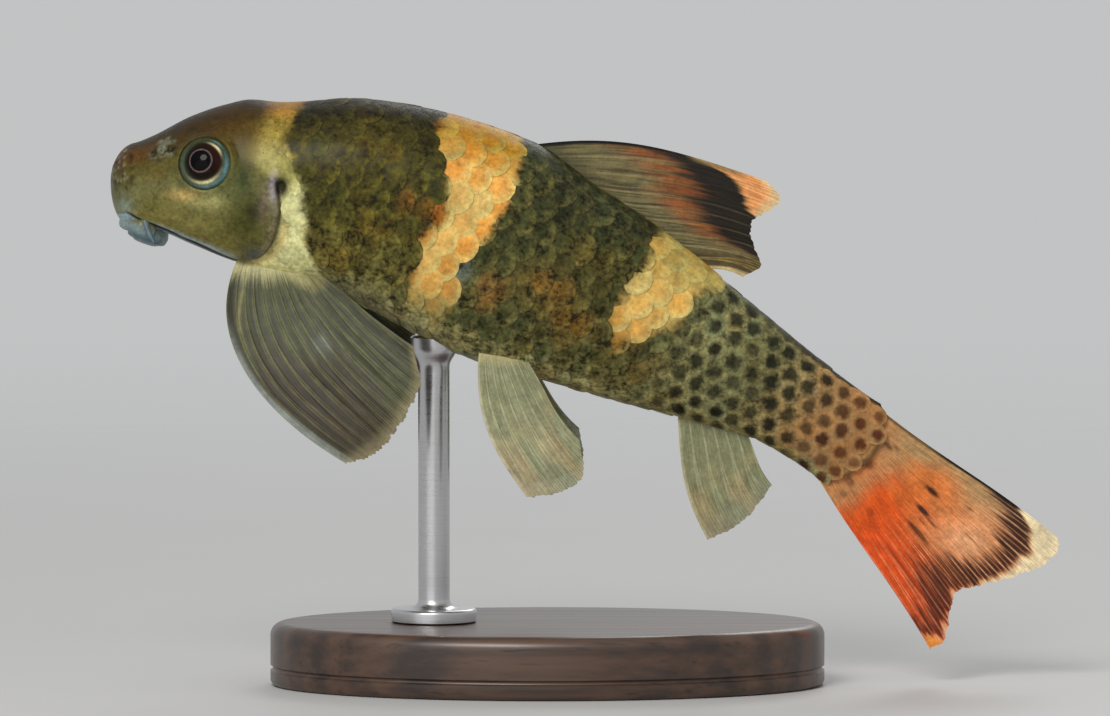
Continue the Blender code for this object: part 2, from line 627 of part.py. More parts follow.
def make_stand(wood, steel):
    turn = np.arange(48) * 2 * np.pi / 48
    outward = np.stack([np.cos(turn), np.sin(turn), 0 * turn], axis=1)
    oval = outward * (BASE_HALF_LENGTH, BASE_HALF_WIDTH, 0)
    # How far each level stands in from the oval, and its height.
    levels = (
        (BASE_CHAMFER, 0.0),
        (0.0, BASE_CHAMFER),
        (0.0, BASE_HEIGHT - BASE_BEVEL),
        (BASE_EASE, BASE_HEIGHT - BASE_EASE),
        (BASE_BEVEL, BASE_HEIGHT),
    )
    rings = [oval - outward * inset + (0, 0, z) for inset, z in levels]
    base = solid("stand_base", *rings_mesh(rings, (0, 0, 0), (0, 0, BASE_HEIGHT)), bend=False)
    finish(base, wood)
    foot, top = BASE_HEIGHT + GAP, SNOUT_Z
    turn = np.arange(20) * 2 * np.pi / 20
    spoke = np.stack([np.cos(turn), np.sin(turn), 0 * turn], axis=1)
    # The rod's radius and height: the flange, its chamfer, a short cove, and the plain rod.
    profile = (
        (FLANGE_RADIUS, foot),
        (FLANGE_RADIUS, foot + FLANGE_HEIGHT * 0.6),
        (FLANGE_RADIUS - 0.4, foot + FLANGE_HEIGHT),
        (ROD_RADIUS + 0.5, foot + FLANGE_HEIGHT * 1.1),
        (ROD_RADIUS, foot + FLANGE_HEIGHT * 1.6),
        (ROD_RADIUS, top),
    )
    rings = [spoke * radius + (ROD_X, 0, z) for radius, z in profile]
    rod = solid("stand_rod", *rings_mesh(rings, (ROD_X, 0, foot), (ROD_X, 0, top)), bend=False)
    boolean(rod, [clearance()], "DIFFERENCE")
    finish(rod, steel)


def main():
    for piece in list(bpy.data.objects):
        bpy.data.objects.remove(piece, do_unlink=True)
    skin = material_named("olive_skin", (0.16, 0.13, 0.05), 0.42)
    lip_skin = material_named("blue_grey_lip", (0.30, 0.33, 0.32), 0.4)
    eye = material_named("eye", (0.02, 0.015, 0.012), 0.08)
    dark_fin = material_named("dark_fin", (0.12, 0.11, 0.06), 0.45)
    pale_fin = material_named("pale_fin", (0.55, 0.52, 0.38), 0.45)
    red_fin = material_named("orange_red_fin", (0.70, 0.13, 0.05), 0.45)
    wood = material_named("dark_wood", (0.10, 0.055, 0.03), 0.35)
    steel = material_named("brushed_steel", (0.55, 0.55, 0.56), 0.3, 1.0)
    make_head(skin, eye)
    finish(solid("torso", *body_length(past(head_end), tail_start, TORSO_ROWS)), skin)
    finish(solid("tail_stalk", *body_length(past(tail_start), tail_end, TAIL_ROWS)), skin)
    make_mouth(lip_skin)
    make_fins(dark_fin, pale_fin, red_fin)
    make_stand(wood, steel)


main()
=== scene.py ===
"""Dressed model of a panda garra, a small barred fish, held by its display stand.

The fish faces -X and climbs towards its head, with its left side towards -Y. Sizes are in
millimetres until a mesh is made. The body is one surface, body_surface(s, t): s runs from 0 at the
snout to 1 at the root of the tail fin, and t runs round it in degrees, 0 on the right side, 90 on
the back, 180 on the left side and 270 on the belly. Skin, scales, eyes, lips and fins are placed on
it, and the markings are functions of s and of the height share, -1 on the belly to 1 on the back.
Paired pieces are worked out for the left side and mirrored.
"""

import bpy
import numpy as np
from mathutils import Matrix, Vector


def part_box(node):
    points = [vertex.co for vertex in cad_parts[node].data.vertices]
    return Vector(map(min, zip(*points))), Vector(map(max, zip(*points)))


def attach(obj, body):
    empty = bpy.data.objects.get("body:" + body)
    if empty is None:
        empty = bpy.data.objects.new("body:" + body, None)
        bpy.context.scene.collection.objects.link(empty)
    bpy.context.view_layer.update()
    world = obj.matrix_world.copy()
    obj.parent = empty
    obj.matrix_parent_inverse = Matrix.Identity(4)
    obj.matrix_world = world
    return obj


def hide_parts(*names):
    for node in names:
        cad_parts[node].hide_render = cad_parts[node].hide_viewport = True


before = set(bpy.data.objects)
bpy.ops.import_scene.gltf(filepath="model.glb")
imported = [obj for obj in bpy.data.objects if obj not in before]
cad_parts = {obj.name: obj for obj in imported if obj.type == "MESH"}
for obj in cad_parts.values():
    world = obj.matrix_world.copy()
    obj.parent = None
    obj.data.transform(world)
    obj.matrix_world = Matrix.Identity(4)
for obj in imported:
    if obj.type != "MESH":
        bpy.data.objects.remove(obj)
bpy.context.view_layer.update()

MM = 0.001

# Body axis: where the snout is, how long the axis is, and its heading in degrees below level.
SNOUT_X, SNOUT_Z = -34.6, 39.9
BODY_LENGTH = 65.0
HEADING = (
    (0.00, -1), (0.12, 0), (0.25, 5), (0.40, 17), (0.52, 25), (0.70, 30), (0.85, 33), (1.00, 37),
    (1.10, 38),
)

# Place along the axis, height of the back, depth of the belly, half width, and how square the upper
# and lower halves of the section are (2 is an ellipse, more is squarer).
SECTIONS = (
    (0.00, 2.90, 3.90, 2.80, 2.3, 2.8),
    (0.03, 3.15, 3.52, 3.40, 2.3, 3.0),
    (0.05, 3.62, 3.65, 3.90, 2.3, 3.1),
    (0.10, 5.25, 4.90, 4.85, 2.2, 3.0),
    (0.14, 6.15, 5.95, 5.30, 2.2, 2.8),
    (0.17, 6.57, 6.55, 5.50, 2.2, 2.6),
    (0.20, 6.45, 6.92, 5.65, 2.2, 2.5),
    (0.30, 7.38, 8.40, 5.95, 2.1, 2.4),
    (0.40, 7.62, 9.65, 5.90, 2.0, 2.3),
    (0.48, 7.66, 10.25, 5.70, 2.0, 2.2),
    (0.54, 6.88, 10.00, 5.40, 2.0, 2.1),
    (0.62, 6.25, 9.15, 4.75, 2.0, 2.0),
    (0.70, 5.50, 7.90, 3.95, 2.0, 2.0),
    (0.80, 4.45, 6.10, 3.00, 2.0, 2.0),
    (0.90, 3.68, 4.40, 2.15, 2.0, 2.0),
    (0.96, 3.58, 4.15, 1.55, 2.0, 2.0),
    (1.00, 3.75, 4.35, 0.85, 2.0, 2.0),
    (1.10, 3.90, 4.50, 0.60, 2.0, 2.0),
)
# Where the snout's rounding ends, where the tail stalk ends above and below and how much further back
# it bulges between, and the shares of its last section that the rings closing it have.
SNOUT_ROUND = 0.03
TAIL_END, TAIL_END_BULGE = 0.985, 0.03
BODY_CAP = (0.95, 0.82, 0.6, 0.3)

# The tail bends gently away to the right side, from here back.
SWAY, SWAY_FROM_X, SWAY_TO_X = 2.0, 5.0, 41.0

# Eye: its place along the axis and above it, its radii, and how deep it sits.
EYE_S, EYE_UP = 0.1165, 1.72
EYE_RADIUS, EYE_DEPTH_RADIUS, EYE_SINK = 2.15, 1.6, 0.6

# Nostril: a raised flap with a pit before and behind it.
NOSTRIL_S, NOSTRIL_UP, NOSTRIL_PIT, NOSTRIL_APART = 0.0655, 2.6, 0.42, 0.72

# Mouth: a disc of skin under the chin, its profile from the root outwards and down as shares of its
# half sizes and its depth, the upper lip round its front, and how steep the chin is in degrees.
MOUTH_X, MOUTH_Z, CHIN_SLOPE = -31.5, 36.3, 19.0
DISC_HALF_LENGTH, DISC_HALF_WIDTH, DISC_HANG, DISC_SINK = 1.65, 2.45, 1.25, 1.6
DISC_PROFILE = (
    (0.80, -1.2), (0.87, -0.5), (0.95, 0.0), (1.00, 0.30), (0.97, 0.56), (0.87, 0.78),
    (0.70, 0.84), (0.52, 0.96), (0.25, 1.0),
)
LIP_RADIUS, LIP_TALL, LIP_SLOT = 0.30, 2.1, 0.24
LIP_HALF_SWING, LIP_BEND_FROM = 100.0, 72.0

# Barbels: place along and round the head, length, root radius, tip radius and direction.
BARBELS = (
    (0.0400, -46, 2.4, 0.34, 0.11, (0.12, -0.34, -0.82)),
    (0.0800, -60, 1.1, 0.24, 0.09, (0.62, -0.30, -0.50)),
)
BARBEL_DROOP, BARBEL_SINK = 0.22, 0.4

# Fins. Each row is one ray from the front of the fin (0) to its rear (1): place of its tip in
# x and z, and its direction where it leaves the body and at its tip, in degrees below level.
DORSAL_ROOT = (0.455, 0.685)
DORSAL = (
    (0.00, 17.6, 39.9, -10, 19),
    (0.12, 18.6, 38.6, -1, 22),
    (0.26, 17.4, 37.3, 7, 23),
    (0.42, 16.2, 36.5, 14, 22),
    (0.60, 16.4, 35.2, 20, 21),
    (0.86, 17.0, 33.2, 28, 25),
    (1.00, 15.5, 32.4, 34, 32),
)
PECTORAL_ROOT = ((0.166, -66), (0.238, -60))
PECTORAL = (
    (0.00, -15.5, 18.1, 122, 29),
    (0.20, -13.9, 18.7, 104, 33),
    (0.45, -12.3, 20.1, 82, 42),
    (0.70, -10.8, 22.3, 62, 42),
    (0.90, -9.9, 24.6, 46, 38),
    (1.00, -10.4, 27.3, 36, 33),
)
PELVIC_ROOT = ((0.515, -68), (0.565, -64))
PELVIC = (
    (0.00, -1.5, 15.4, 97, 52),
    (0.40, 1.4, 16.0, 76, 50),
    (0.75, 3.0, 17.6, 60, 46),
    (1.00, 2.6, 19.9, 50, 42),
)
ANAL_ROOT = (0.775, 0.85)
ANAL = (
    (0.00, 12.8, 11.4, 86, 60),
    (0.50, 15.7, 13.1, 68, 55),
    (1.00, 17.9, 15.8, 52, 48),
)
# The tail fin is forked: each tip lies this far and at this angle from the middle of its root.
CAUDAL_X, CAUDAL_Z = 25.0, 18.1
CAUDAL_ANGLES = (23, 70.5)
CAUDAL_REACH = (
    (0, 17.0), (0.08, 17.7), (0.2, 16.7), (0.36, 15.4), (0.58, 13.7), (0.67, 13.3), (0.8, 14.6),
    (0.94, 16.6), (1, 16.4),
)
CAUDAL_LEAVE, CAUDAL_FAN, CAUDAL_ROOT_SHARE, CAUDAL_ROOT_IN = (40, 60), 15, 0.86, 0.25
DORSAL_RAYS, CAUDAL_RAYS, ANAL_RAYS, PECTORAL_RAYS, PELVIC_RAYS = 10, 19, 7, 14, 9
# How a fin leans to the side: a share of the length run along it, and a share of that length squared.
PECTORAL_SPREAD, PELVIC_SPREAD = (0.50, -0.008), (0.62, -0.012)
DORSAL_LEAN, ANAL_LEAN, CAUDAL_LEAN = (0.05, 0.0), (-0.04, 0.0), (0.0, 0.0)
# How deep a root is sunk, and the share of a ray's length over which it keeps its direction at each
# end. Thickness of the skin, height of the rays and thickness added at the root, which is more on the
# paired fins. Places along a ray where it forks.
ROOT_SINK, RAY_HANDLE = 1.3, 0.42
MEMBRANE, RIDGE, FIN_ROOT, PECTORAL_FLESH, PELVIC_FLESH = 0.10, 0.12, 0.45, 1.1, 0.7
FIRST_FORK, SECOND_FORK = 0.30, 0.58

# Scales: distance from one to the next along the body, distance between rows at stations along the
# body, size of one scale as shares of these, how far its front is sunk, its rise to the rear edge,
# its crown and its thickness.
SCALE_FROM, SCALE_PITCH = 0.165, 1.72
SCALE_ROWS = ((0.14, 1.62), (0.30, 1.86), (0.55, 1.84), (0.80, 1.50), (1.06, 1.30))
SCALE_LONG, SCALE_WIDE = 1.60, 1.56
SCALE_LOW, SCALE_RISE, SCALE_CROWN, SCALE_THICK = -0.09, 0.16, 0.05, 0.04
SCALE_RINGS, SCALE_SIDES = (0.42, 0.78, 1.0), 14
# How far a scale keeps the tone of its middle, from 0 for the markings' own edges to 1 for one tone.
OWN_TONE = 0.45
SKIN_SINK = 0.12

# Edge of the gill cover and edges of the bars: height share, then place along the body.
COVER_EDGE = (
    (-1.0, 0.150), (-0.95, 0.160), (-0.80, 0.191), (-0.55, 0.205), (-0.28, 0.209), (0.03, 0.203),
)
PALE_BAR_FRONT = (
    (-1.0, 0.166), (-0.61, 0.200), (-0.23, 0.207), (0.09, 0.199), (0.31, 0.178), (0.95, 0.192),
)
PALE_BAR_REAR = (
    (-1.0, 0.295), (-0.85, 0.268), (-0.69, 0.246), (-0.45, 0.240), (0.05, 0.230), (0.56, 0.208),
    (0.79, 0.214), (1.0, 0.229),
)
GOLD_BAR_FRONT = (
    (-1.0, 0.402), (-0.50, 0.395), (-0.28, 0.391), (-0.02, 0.410), (0.30, 0.397), (0.54, 0.391),
    (0.87, 0.381),
)
GOLD_BAR_REAR = (
    (-0.78, 0.456), (-0.57, 0.463), (-0.36, 0.452), (-0.01, 0.465), (0.50, 0.477), (0.99, 0.467),
)
PATCH_FRONT = ((-0.6, 0.685), (-0.39, 0.663), (-0.02, 0.645), (0.31, 0.654), (0.84, 0.653))
PATCH_REAR = (
    (-0.6, 0.690), (-0.45, 0.695), (-0.24, 0.706), (0.05, 0.727), (0.42, 0.722), (0.96, 0.753),
)
SPOTS_FROM = 0.765

# Display stand: an oval base, and one round rod at this x with a flange at its foot.
BASE_HALF_LENGTH, BASE_HALF_WIDTH, BASE_HEIGHT = 22.0, 14.0, 5.0
ROD_X, ROD_RADIUS, FLANGE_RADIUS = -9.0, 1.25, 3.4

# Camera: a long lens a little above level, framing the whole model with the photo's proportions.
FRAME_WIDTH, VIEW_X, VIEW_Z, VIEW_UP = 88.0, 0.6, 26.0, 4.0
LENS, SENSOR = 400.0, 36.0

# Light that the wet surface adds to every tone, and the least share of a tone that is left.
SHEEN, LEAST_TONE = 0.020, 0.3


def tone(red, green, blue):
    """Linear colour from display values of 0 to 255, less the sheen that is added to it."""
    share = np.array([red, green, blue]) / 255
    linear = np.where(share <= 0.04045, share / 12.92, ((share + 0.055) / 1.055) ** 2.4)
    return np.maximum(linear - SHEEN, LEAST_TONE * linear)


def ease(value, low, high):
    """0 below low, 1 above high, and 3 x squared minus 2 x cubed between them."""
    share = np.clip((value - low) / (high - low), 0, 1)
    return share * share * (3 - 2 * share)


def mix(first, second, share):
    """Colour first moved towards colour second by a grid of shares."""
    return first + (second - first) * np.asarray(share)[..., None]


def window(value, low, full, fade, gone):
    """0 up to low, eased to 1 at full, 1 up to fade, and eased to 0 at gone."""
    return ease(value, low, full) * (1 - ease(value, fade, gone))


def graded(first, second, share):
    """Tone between two tones given as display values."""
    return mix(tone(*first), tone(*second), share)


def paint(colour, *layers):
    """Lays colours over a colour in turn, each moved towards by its grid of shares.

    A layer is a tone in display values, a grid of colours, or a number that the colour below it is
    multiplied by.
    """
    for over, share in layers:
        if isinstance(over, tuple):
            over = tone(*over)
        colour = mix(colour, colour * over if np.isscalar(over) else over, share)
    return colour


def tone_run(rows, place):
    """Colour at a place by straight lines through rows of a place and a tone."""
    stations = [row[0] for row in rows]
    tones = np.array([tone(*row[1:]) for row in rows])
    return np.stack([np.interp(place, stations, tones[:, k]) for k in range(3)], axis=-1)


def bell(value, middle, reach):
    """e to the minus squared distance from the middle, in units of the reach."""
    return np.exp(-(((value - middle) / reach) ** 2))


def distance(points, to):
    """Straight distance of each point from one point."""
    return np.linalg.norm(points - to, axis=-1)


def blot(x, y, middle_x, middle_y, reach_x, reach_y):
    """Soft oval spot: e to the minus squared distance, each axis in units of its reach."""
    return np.exp(-(((x - middle_x) / reach_x) ** 2) - ((y - middle_y) / reach_y) ** 2)


def smooth_through(stations, place, column=1):
    """Reads a smooth curve through the stations that never overshoots them (a monotone cubic)."""
    table = np.asarray(stations, float)
    x, y = table[:, 0], table[:, column]
    step = np.diff(x)
    rise = np.diff(y) / step
    slope = np.concatenate([rise[:1], np.zeros(len(x) - 2), rise[-1:]])
    same_way = rise[:-1] * rise[1:] > 0
    before, after = 2 * step[1:] + step[:-1], step[1:] + 2 * step[:-1]
    left, right = np.where(same_way, rise[:-1], 1), np.where(same_way, rise[1:], 1)
    slope[1:-1] = np.where(same_way, (before + after) / (before / left + after / right), 0)
    place = np.asarray(place, float)
    k = np.clip(np.searchsorted(x, place, side="right") - 1, 0, len(x) - 2)
    u = (place - x[k]) / step[k]
    return (
        (1 + 2 * u) * (1 - u) ** 2 * y[k]
        + u * (1 - u) ** 2 * step[k] * slope[k]
        + u * u * (3 - 2 * u) * y[k + 1]
        + u * u * (u - 1) * step[k] * slope[k + 1]
    )


def edge_at(stations, h):
    """Place along the body of a marking's edge at height share h, held level past its ends."""
    return smooth_through(stations, np.clip(h, stations[0][0], stations[-1][0]))


AXIS_S = np.linspace(-0.02, 1.1, 561)
AXIS_HEADING = np.radians(smooth_through(HEADING, np.maximum(AXIS_S, 0)))
AXIS_STEP = BODY_LENGTH * (AXIS_S[1] - AXIS_S[0])


def axis_track(along, start):
    """Adds up one coordinate of the axis from its heading, so that it passes the snout at s = 0."""
    middle = (along[1:] + along[:-1]) / 2
    track = np.concatenate([[0], np.cumsum(middle) * AXIS_STEP])
    return track - np.interp(0, AXIS_S, track) + start


AXIS_X = axis_track(np.cos(AXIS_HEADING), SNOUT_X)
AXIS_Z = axis_track(-np.sin(AXIS_HEADING), SNOUT_Z)


def section_shares(s, t):
    """Cosine and sine of t drawn out towards the section's corners by its squareness."""
    across, upright = np.cos(np.radians(t)), np.sin(np.radians(t))
    square = np.where(upright > 0, smooth_through(SECTIONS, s, 4), smooth_through(SECTIONS, s, 5))
    corner = (np.abs(across) ** square + np.abs(upright) ** square) ** (-1 / square)
    return corner * across, corner * upright


def height_share(s, t):
    """How high a place of the body is, from -1 at the belly's midline to 1 at the back's."""
    return section_shares(*np.broadcast_arrays(s, t))[1]


def body_surface(s, t, grow=0.0, inward=1.0):
    """Point of the body at place s and angle t in degrees, pushed out by grow or drawn to the axis.

    The section is cos t times the half width by sin t times the height, drawn out towards its
    corners by the squareness, and it closes at the snout as a quarter circle.
    """
    s, t, grow, inward = np.broadcast_arrays(s, t, grow, inward)
    across, upright = section_shares(s, t)
    back, belly, half_width = (smooth_through(SECTIONS, np.maximum(s, 0), k) for k in (1, 2, 3))
    height = np.where(upright > 0, back, belly)
    to_round = np.clip(1 - s / SNOUT_ROUND, 0, 1)
    closing = np.sqrt(1 - to_round**2) * inward
    y = closing * (half_width + grow) * across
    off_axis = closing * (height + grow) * upright
    ahead = grow * to_round
    heading = np.interp(s, AXIS_S, AXIS_HEADING)
    x = np.interp(s, AXIS_S, AXIS_X) + np.sin(heading) * off_axis - np.cos(heading) * ahead
    z = np.interp(s, AXIS_S, AXIS_Z) + np.cos(heading) * off_axis + np.sin(heading) * ahead
    return np.stack([x, y, z], axis=-1)


def body_frame(s, t):
    """Point of the body, and its unit directions outwards, backwards and upwards on the left side."""
    small = 0.002
    back = body_surface(s + small, t) - body_surface(s - small, t)
    around = body_surface(s, t + 1.0) - body_surface(s, t - 1.0)
    out = np.cross(around, back)
    out = out / np.linalg.norm(out)
    back = back / np.linalg.norm(back)
    return body_surface(s, t), out, back, np.cross(out, back)


def left_angle(s, up):
    """Angle t on the left side where the surface lies this far above the axis.

    It is 180 less the arc sine of that height as a share of the back's.
    """
    return 180 - np.degrees(np.arcsin(up / smooth_through(SECTIONS, s, 1)))


def tail_end(t):
    """Rear end of the tail stalk at angle t: a fixed place plus a bulge times the square of cos t."""
    return TAIL_END + TAIL_END_BULGE * np.cos(np.radians(t)) ** 2


def sway(points):
    """Bends the rear of the fish sideways, growing with the square of the distance back."""
    back = np.clip((points[..., 0] - SWAY_FROM_X) / (SWAY_TO_X - SWAY_FROM_X), 0, None)
    return points + np.stack([0 * back, SWAY * back**2, 0 * back], axis=-1)


def grid_faces(rows, columns, wrap):
    """Quads of a grid of points, with its last column joined to its first if wrap is true."""
    index = np.arange(rows * columns).reshape(rows, columns)
    if wrap:
        index = np.concatenate([index, index[:, :1]], axis=1)
    corners = index[:-1, :-1], index[:-1, 1:], index[1:, 1:], index[1:, :-1]
    return np.stack(corners, axis=-1).reshape(-1, 4)


def rings_mesh(rings, first, last):
    """Closed mesh over a stack of rings of equal count, with a point at each end."""
    rows, columns = rings.shape[:2]
    points = np.vstack([rings.reshape(-1, 3), [first], [last]])
    index = np.arange(rows * columns).reshape(rows, columns)
    ahead = np.roll(index, -1, axis=1)
    first_fan = np.stack([ahead[0], index[0], np.full(columns, rows * columns)], axis=-1)
    last_fan = np.stack([index[-1], ahead[-1], np.full(columns, rows * columns + 1)], axis=-1)
    return points, grid_faces(rows, columns, True).tolist() + first_fan.tolist() + last_fan.tolist()


def sheet_mesh(front, back):
    """Closed mesh between two grids of equal shape."""
    rows, columns = front.shape[:2]
    points = np.vstack([front.reshape(-1, 3), back.reshape(-1, 3)])
    index = np.arange(rows * columns).reshape(rows, columns)
    face = grid_faces(rows, columns, False)
    rim = np.concatenate([index[0, :-1], index[:-1, -1], index[-1, :0:-1], index[:0:-1, 0]])
    after, under = np.roll(rim, -1), rows * columns
    edge = np.stack([after, rim, rim + under, after + under], axis=-1)
    return points, np.vstack([face, face[:, ::-1] + under, edge]).tolist()


def joined(meshes):
    """One list of points and one of faces from several of each."""
    points, faces, start = [], [], 0
    for some_points, some_faces in meshes:
        points.append(some_points)
        faces += [[index + start for index in face] for face in some_faces]
        start += len(some_points)
    return np.vstack(points), faces


def mirrored(mesh):
    """The same mesh on the right side: y turned round, and so the order of each face."""
    points, faces = mesh
    return points * (1, -1, 1), [face[::-1] for face in faces]


def encloses(points, faces):
    """Six times the volume inside the faces, below 0 where they point inwards.

    It adds up each triangle's first corner dotted with the cross product of its other two.
    """
    triangles = [face[:3] for face in faces] + [[face[0], face[2], face[-1]] for face in faces]
    corners = np.array(triangles)
    a, b, c = ((points - points.mean(axis=0))[corners[:, k]] for k in range(3))
    return np.einsum("ij,ij->i", a, np.cross(b, c)).sum()


def outward(mesh):
    """The same mesh with its faces pointing outwards."""
    points, faces = mesh
    return mesh if encloses(points, faces) >= 0 else (points, [face[::-1] for face in faces])


def make_piece(
    name, mesh, material, replaces=(), tints=None, maps=None, bend=True, sharp=1.0
):
    """Piece from points in millimetres: faces outwards, shaded smooth, with its colours and maps.

    tints holds a colour with an opacity for each point, by name, and maps a place for each face
    corner, by name.
    """
    points, faces = mesh
    points = np.asarray(points, float)
    if encloses(points, faces) < 0:
        raise ValueError(f"{name} is inside out")
    data = bpy.data.meshes.new(name)
    data.from_pydata(((sway(points) if bend else points) * MM).tolist(), [], faces)
    for title, colours in (tints or {}).items():
        layer = data.color_attributes.new(title, "FLOAT_COLOR", "POINT")
        layer.data.foreach_set("color", np.asarray(colours, np.float32).ravel())
    for title, places in (maps or {}).items():
        layer = data.uv_layers.new(name=title)
        layer.data.foreach_set("uv", np.asarray(places, np.float32).ravel())
    data.materials.append(material)
    data.shade_smooth()
    data.set_sharp_from_angle(angle=sharp)
    piece = bpy.data.objects.new(name, data)
    bpy.context.scene.collection.objects.link(piece)
    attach(piece, "root")
    if replaces:
        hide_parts(*replaces)
    return piece


def with_opacity(colours, opacity=1.0):
    """Colours with a fourth value, the opacity."""
    opacity = np.broadcast_to(opacity, colours.shape[:-1])[..., None]
    return np.concatenate([colours, opacity], axis=-1).reshape(-1, 4)


# Markings

HEAD_BY_HEIGHT = (
    (-1.0, 130, 124, 98),
    (-0.80, 118, 110, 64),
    (-0.45, 109, 104, 66),
    (-0.05, 107, 108, 74),
    (0.35, 88, 84, 52),
    (0.70, 72, 61, 29),
    (1.0, 48, 42, 20),
)
# Soft spots of colour on the head: place, height share, their reaches, colour and strength.
HEAD_SPOTS = (
    (0.030, 0.72, 0.030, 0.20, (98, 68, 42), 0.55),
    (0.012, 0.55, 0.012, 0.30, (104, 80, 56), 0.60),
    (0.006, 0.60, 0.012, 0.30, (62, 50, 32), 0.60),
    (0.014, 0.00, 0.018, 0.38, (80, 77, 50), 0.85),
    (0.018, -0.50, 0.012, 0.24, (122, 136, 126), 0.70),
    (0.060, -0.30, 0.020, 0.25, (104, 97, 56), 0.40),
    (0.055, 0.20, 0.020, 0.20, (104, 82, 48), 0.35),
    (0.094, -0.17, 0.022, 0.10, (196, 160, 98), 0.60),
    (0.122, -0.22, 0.026, 0.12, (160, 158, 104), 0.65),
    (0.100, -0.62, 0.040, 0.16, (131, 125, 78), 0.45),
    (0.130, 0.86, 0.050, 0.18, (70, 53, 25), 0.50),
    (0.150, 0.62, 0.022, 0.22, (88, 70, 36), 0.50),
    (0.172, -0.34, 0.026, 0.42, (78, 79, 50), 0.80),
    (0.164, 0.10, 0.010, 0.22, (56, 66, 50), 0.80),
    (0.150, -0.06, 0.012, 0.14, (82, 86, 58), 0.40),
    (0.174, -0.32, 0.012, 0.15, (36, 40, 28), 0.85),
    (0.160, -0.48, 0.022, 0.24, (74, 76, 46), 0.60),
    (0.189, -0.20, 0.008, 0.20, (122, 106, 98), 0.50),
    (0.182, -0.82, 0.018, 0.12, (70, 76, 80), 0.85),
    (0.182, 0.52, 0.014, 0.26, (120, 100, 54), 0.55),
    (0.0655, 0.64, 0.011, 0.14, (104, 104, 82), 0.55),
    # The next two are painted shade in the nostril's two pits.
    (0.0545, 0.68, 0.0042, 0.060, (34, 33, 24), 0.85),
    (0.0772, 0.585, 0.0042, 0.060, (38, 35, 25), 0.80),
)


def head_tones(s, h):
    """Skin colour of the head: a run of tones from belly to back, with soft spots laid over it."""
    colour = tone_run(HEAD_BY_HEIGHT, h)
    for middle, up, reach, reach_up, spot, strength in HEAD_SPOTS:
        colour = paint(colour, (spot, strength * blot(s, h, middle, up, reach, reach_up)))
    return colour


# Rusty scales within the dark bars, and a painted bluish glint on one scale, in the same terms as the
# head's spots.
BODY_SPOTS = (
    (0.367, 0.05, 0.010, 0.09, (150, 96, 52), 0.75),
    (0.399, 0.00, 0.010, 0.09, (164, 96, 48), 0.90),
    (0.310, 0.55, 0.060, 0.30, (96, 84, 40), 0.30),
    (0.290, -0.62, 0.040, 0.16, (118, 98, 48), 0.35),
    (0.330, -0.30, 0.030, 0.14, (104, 84, 44), 0.40),
    # A painted highlight: a bluish glint on one scale.
    (0.457, -0.36, 0.007, 0.06, (126, 138, 136), 0.40),
    (0.500, -0.42, 0.016, 0.12, (150, 104, 60), 0.75),
    (0.560, -0.20, 0.030, 0.14, (144, 104, 54), 0.55),
    (0.610, -0.42, 0.030, 0.16, (140, 100, 50), 0.50),
    (0.600, 0.20, 0.035, 0.20, (110, 88, 48), 0.40),
    (0.540, 0.50, 0.030, 0.30, (42, 46, 40), 0.50),
    (0.720, -0.50, 0.040, 0.20, (124, 102, 60), 0.50),
)


def between(s, h, front, rear, soft):
    """Share of a marking between two edges: 1 inside, 0 outside, eased over a soft width."""
    return ease(s - edge_at(front, h), -soft, soft) * ease(edge_at(rear, h) - s, -soft, soft)


def lay(colours, centre, rim, share, rim_share=None):
    """Centre and rim colours moved towards two others by a grid of shares, or by one grid each."""
    rim_share = share if rim_share is None else rim_share
    return mix(colours[0], centre, share), mix(colours[1], rim, rim_share)


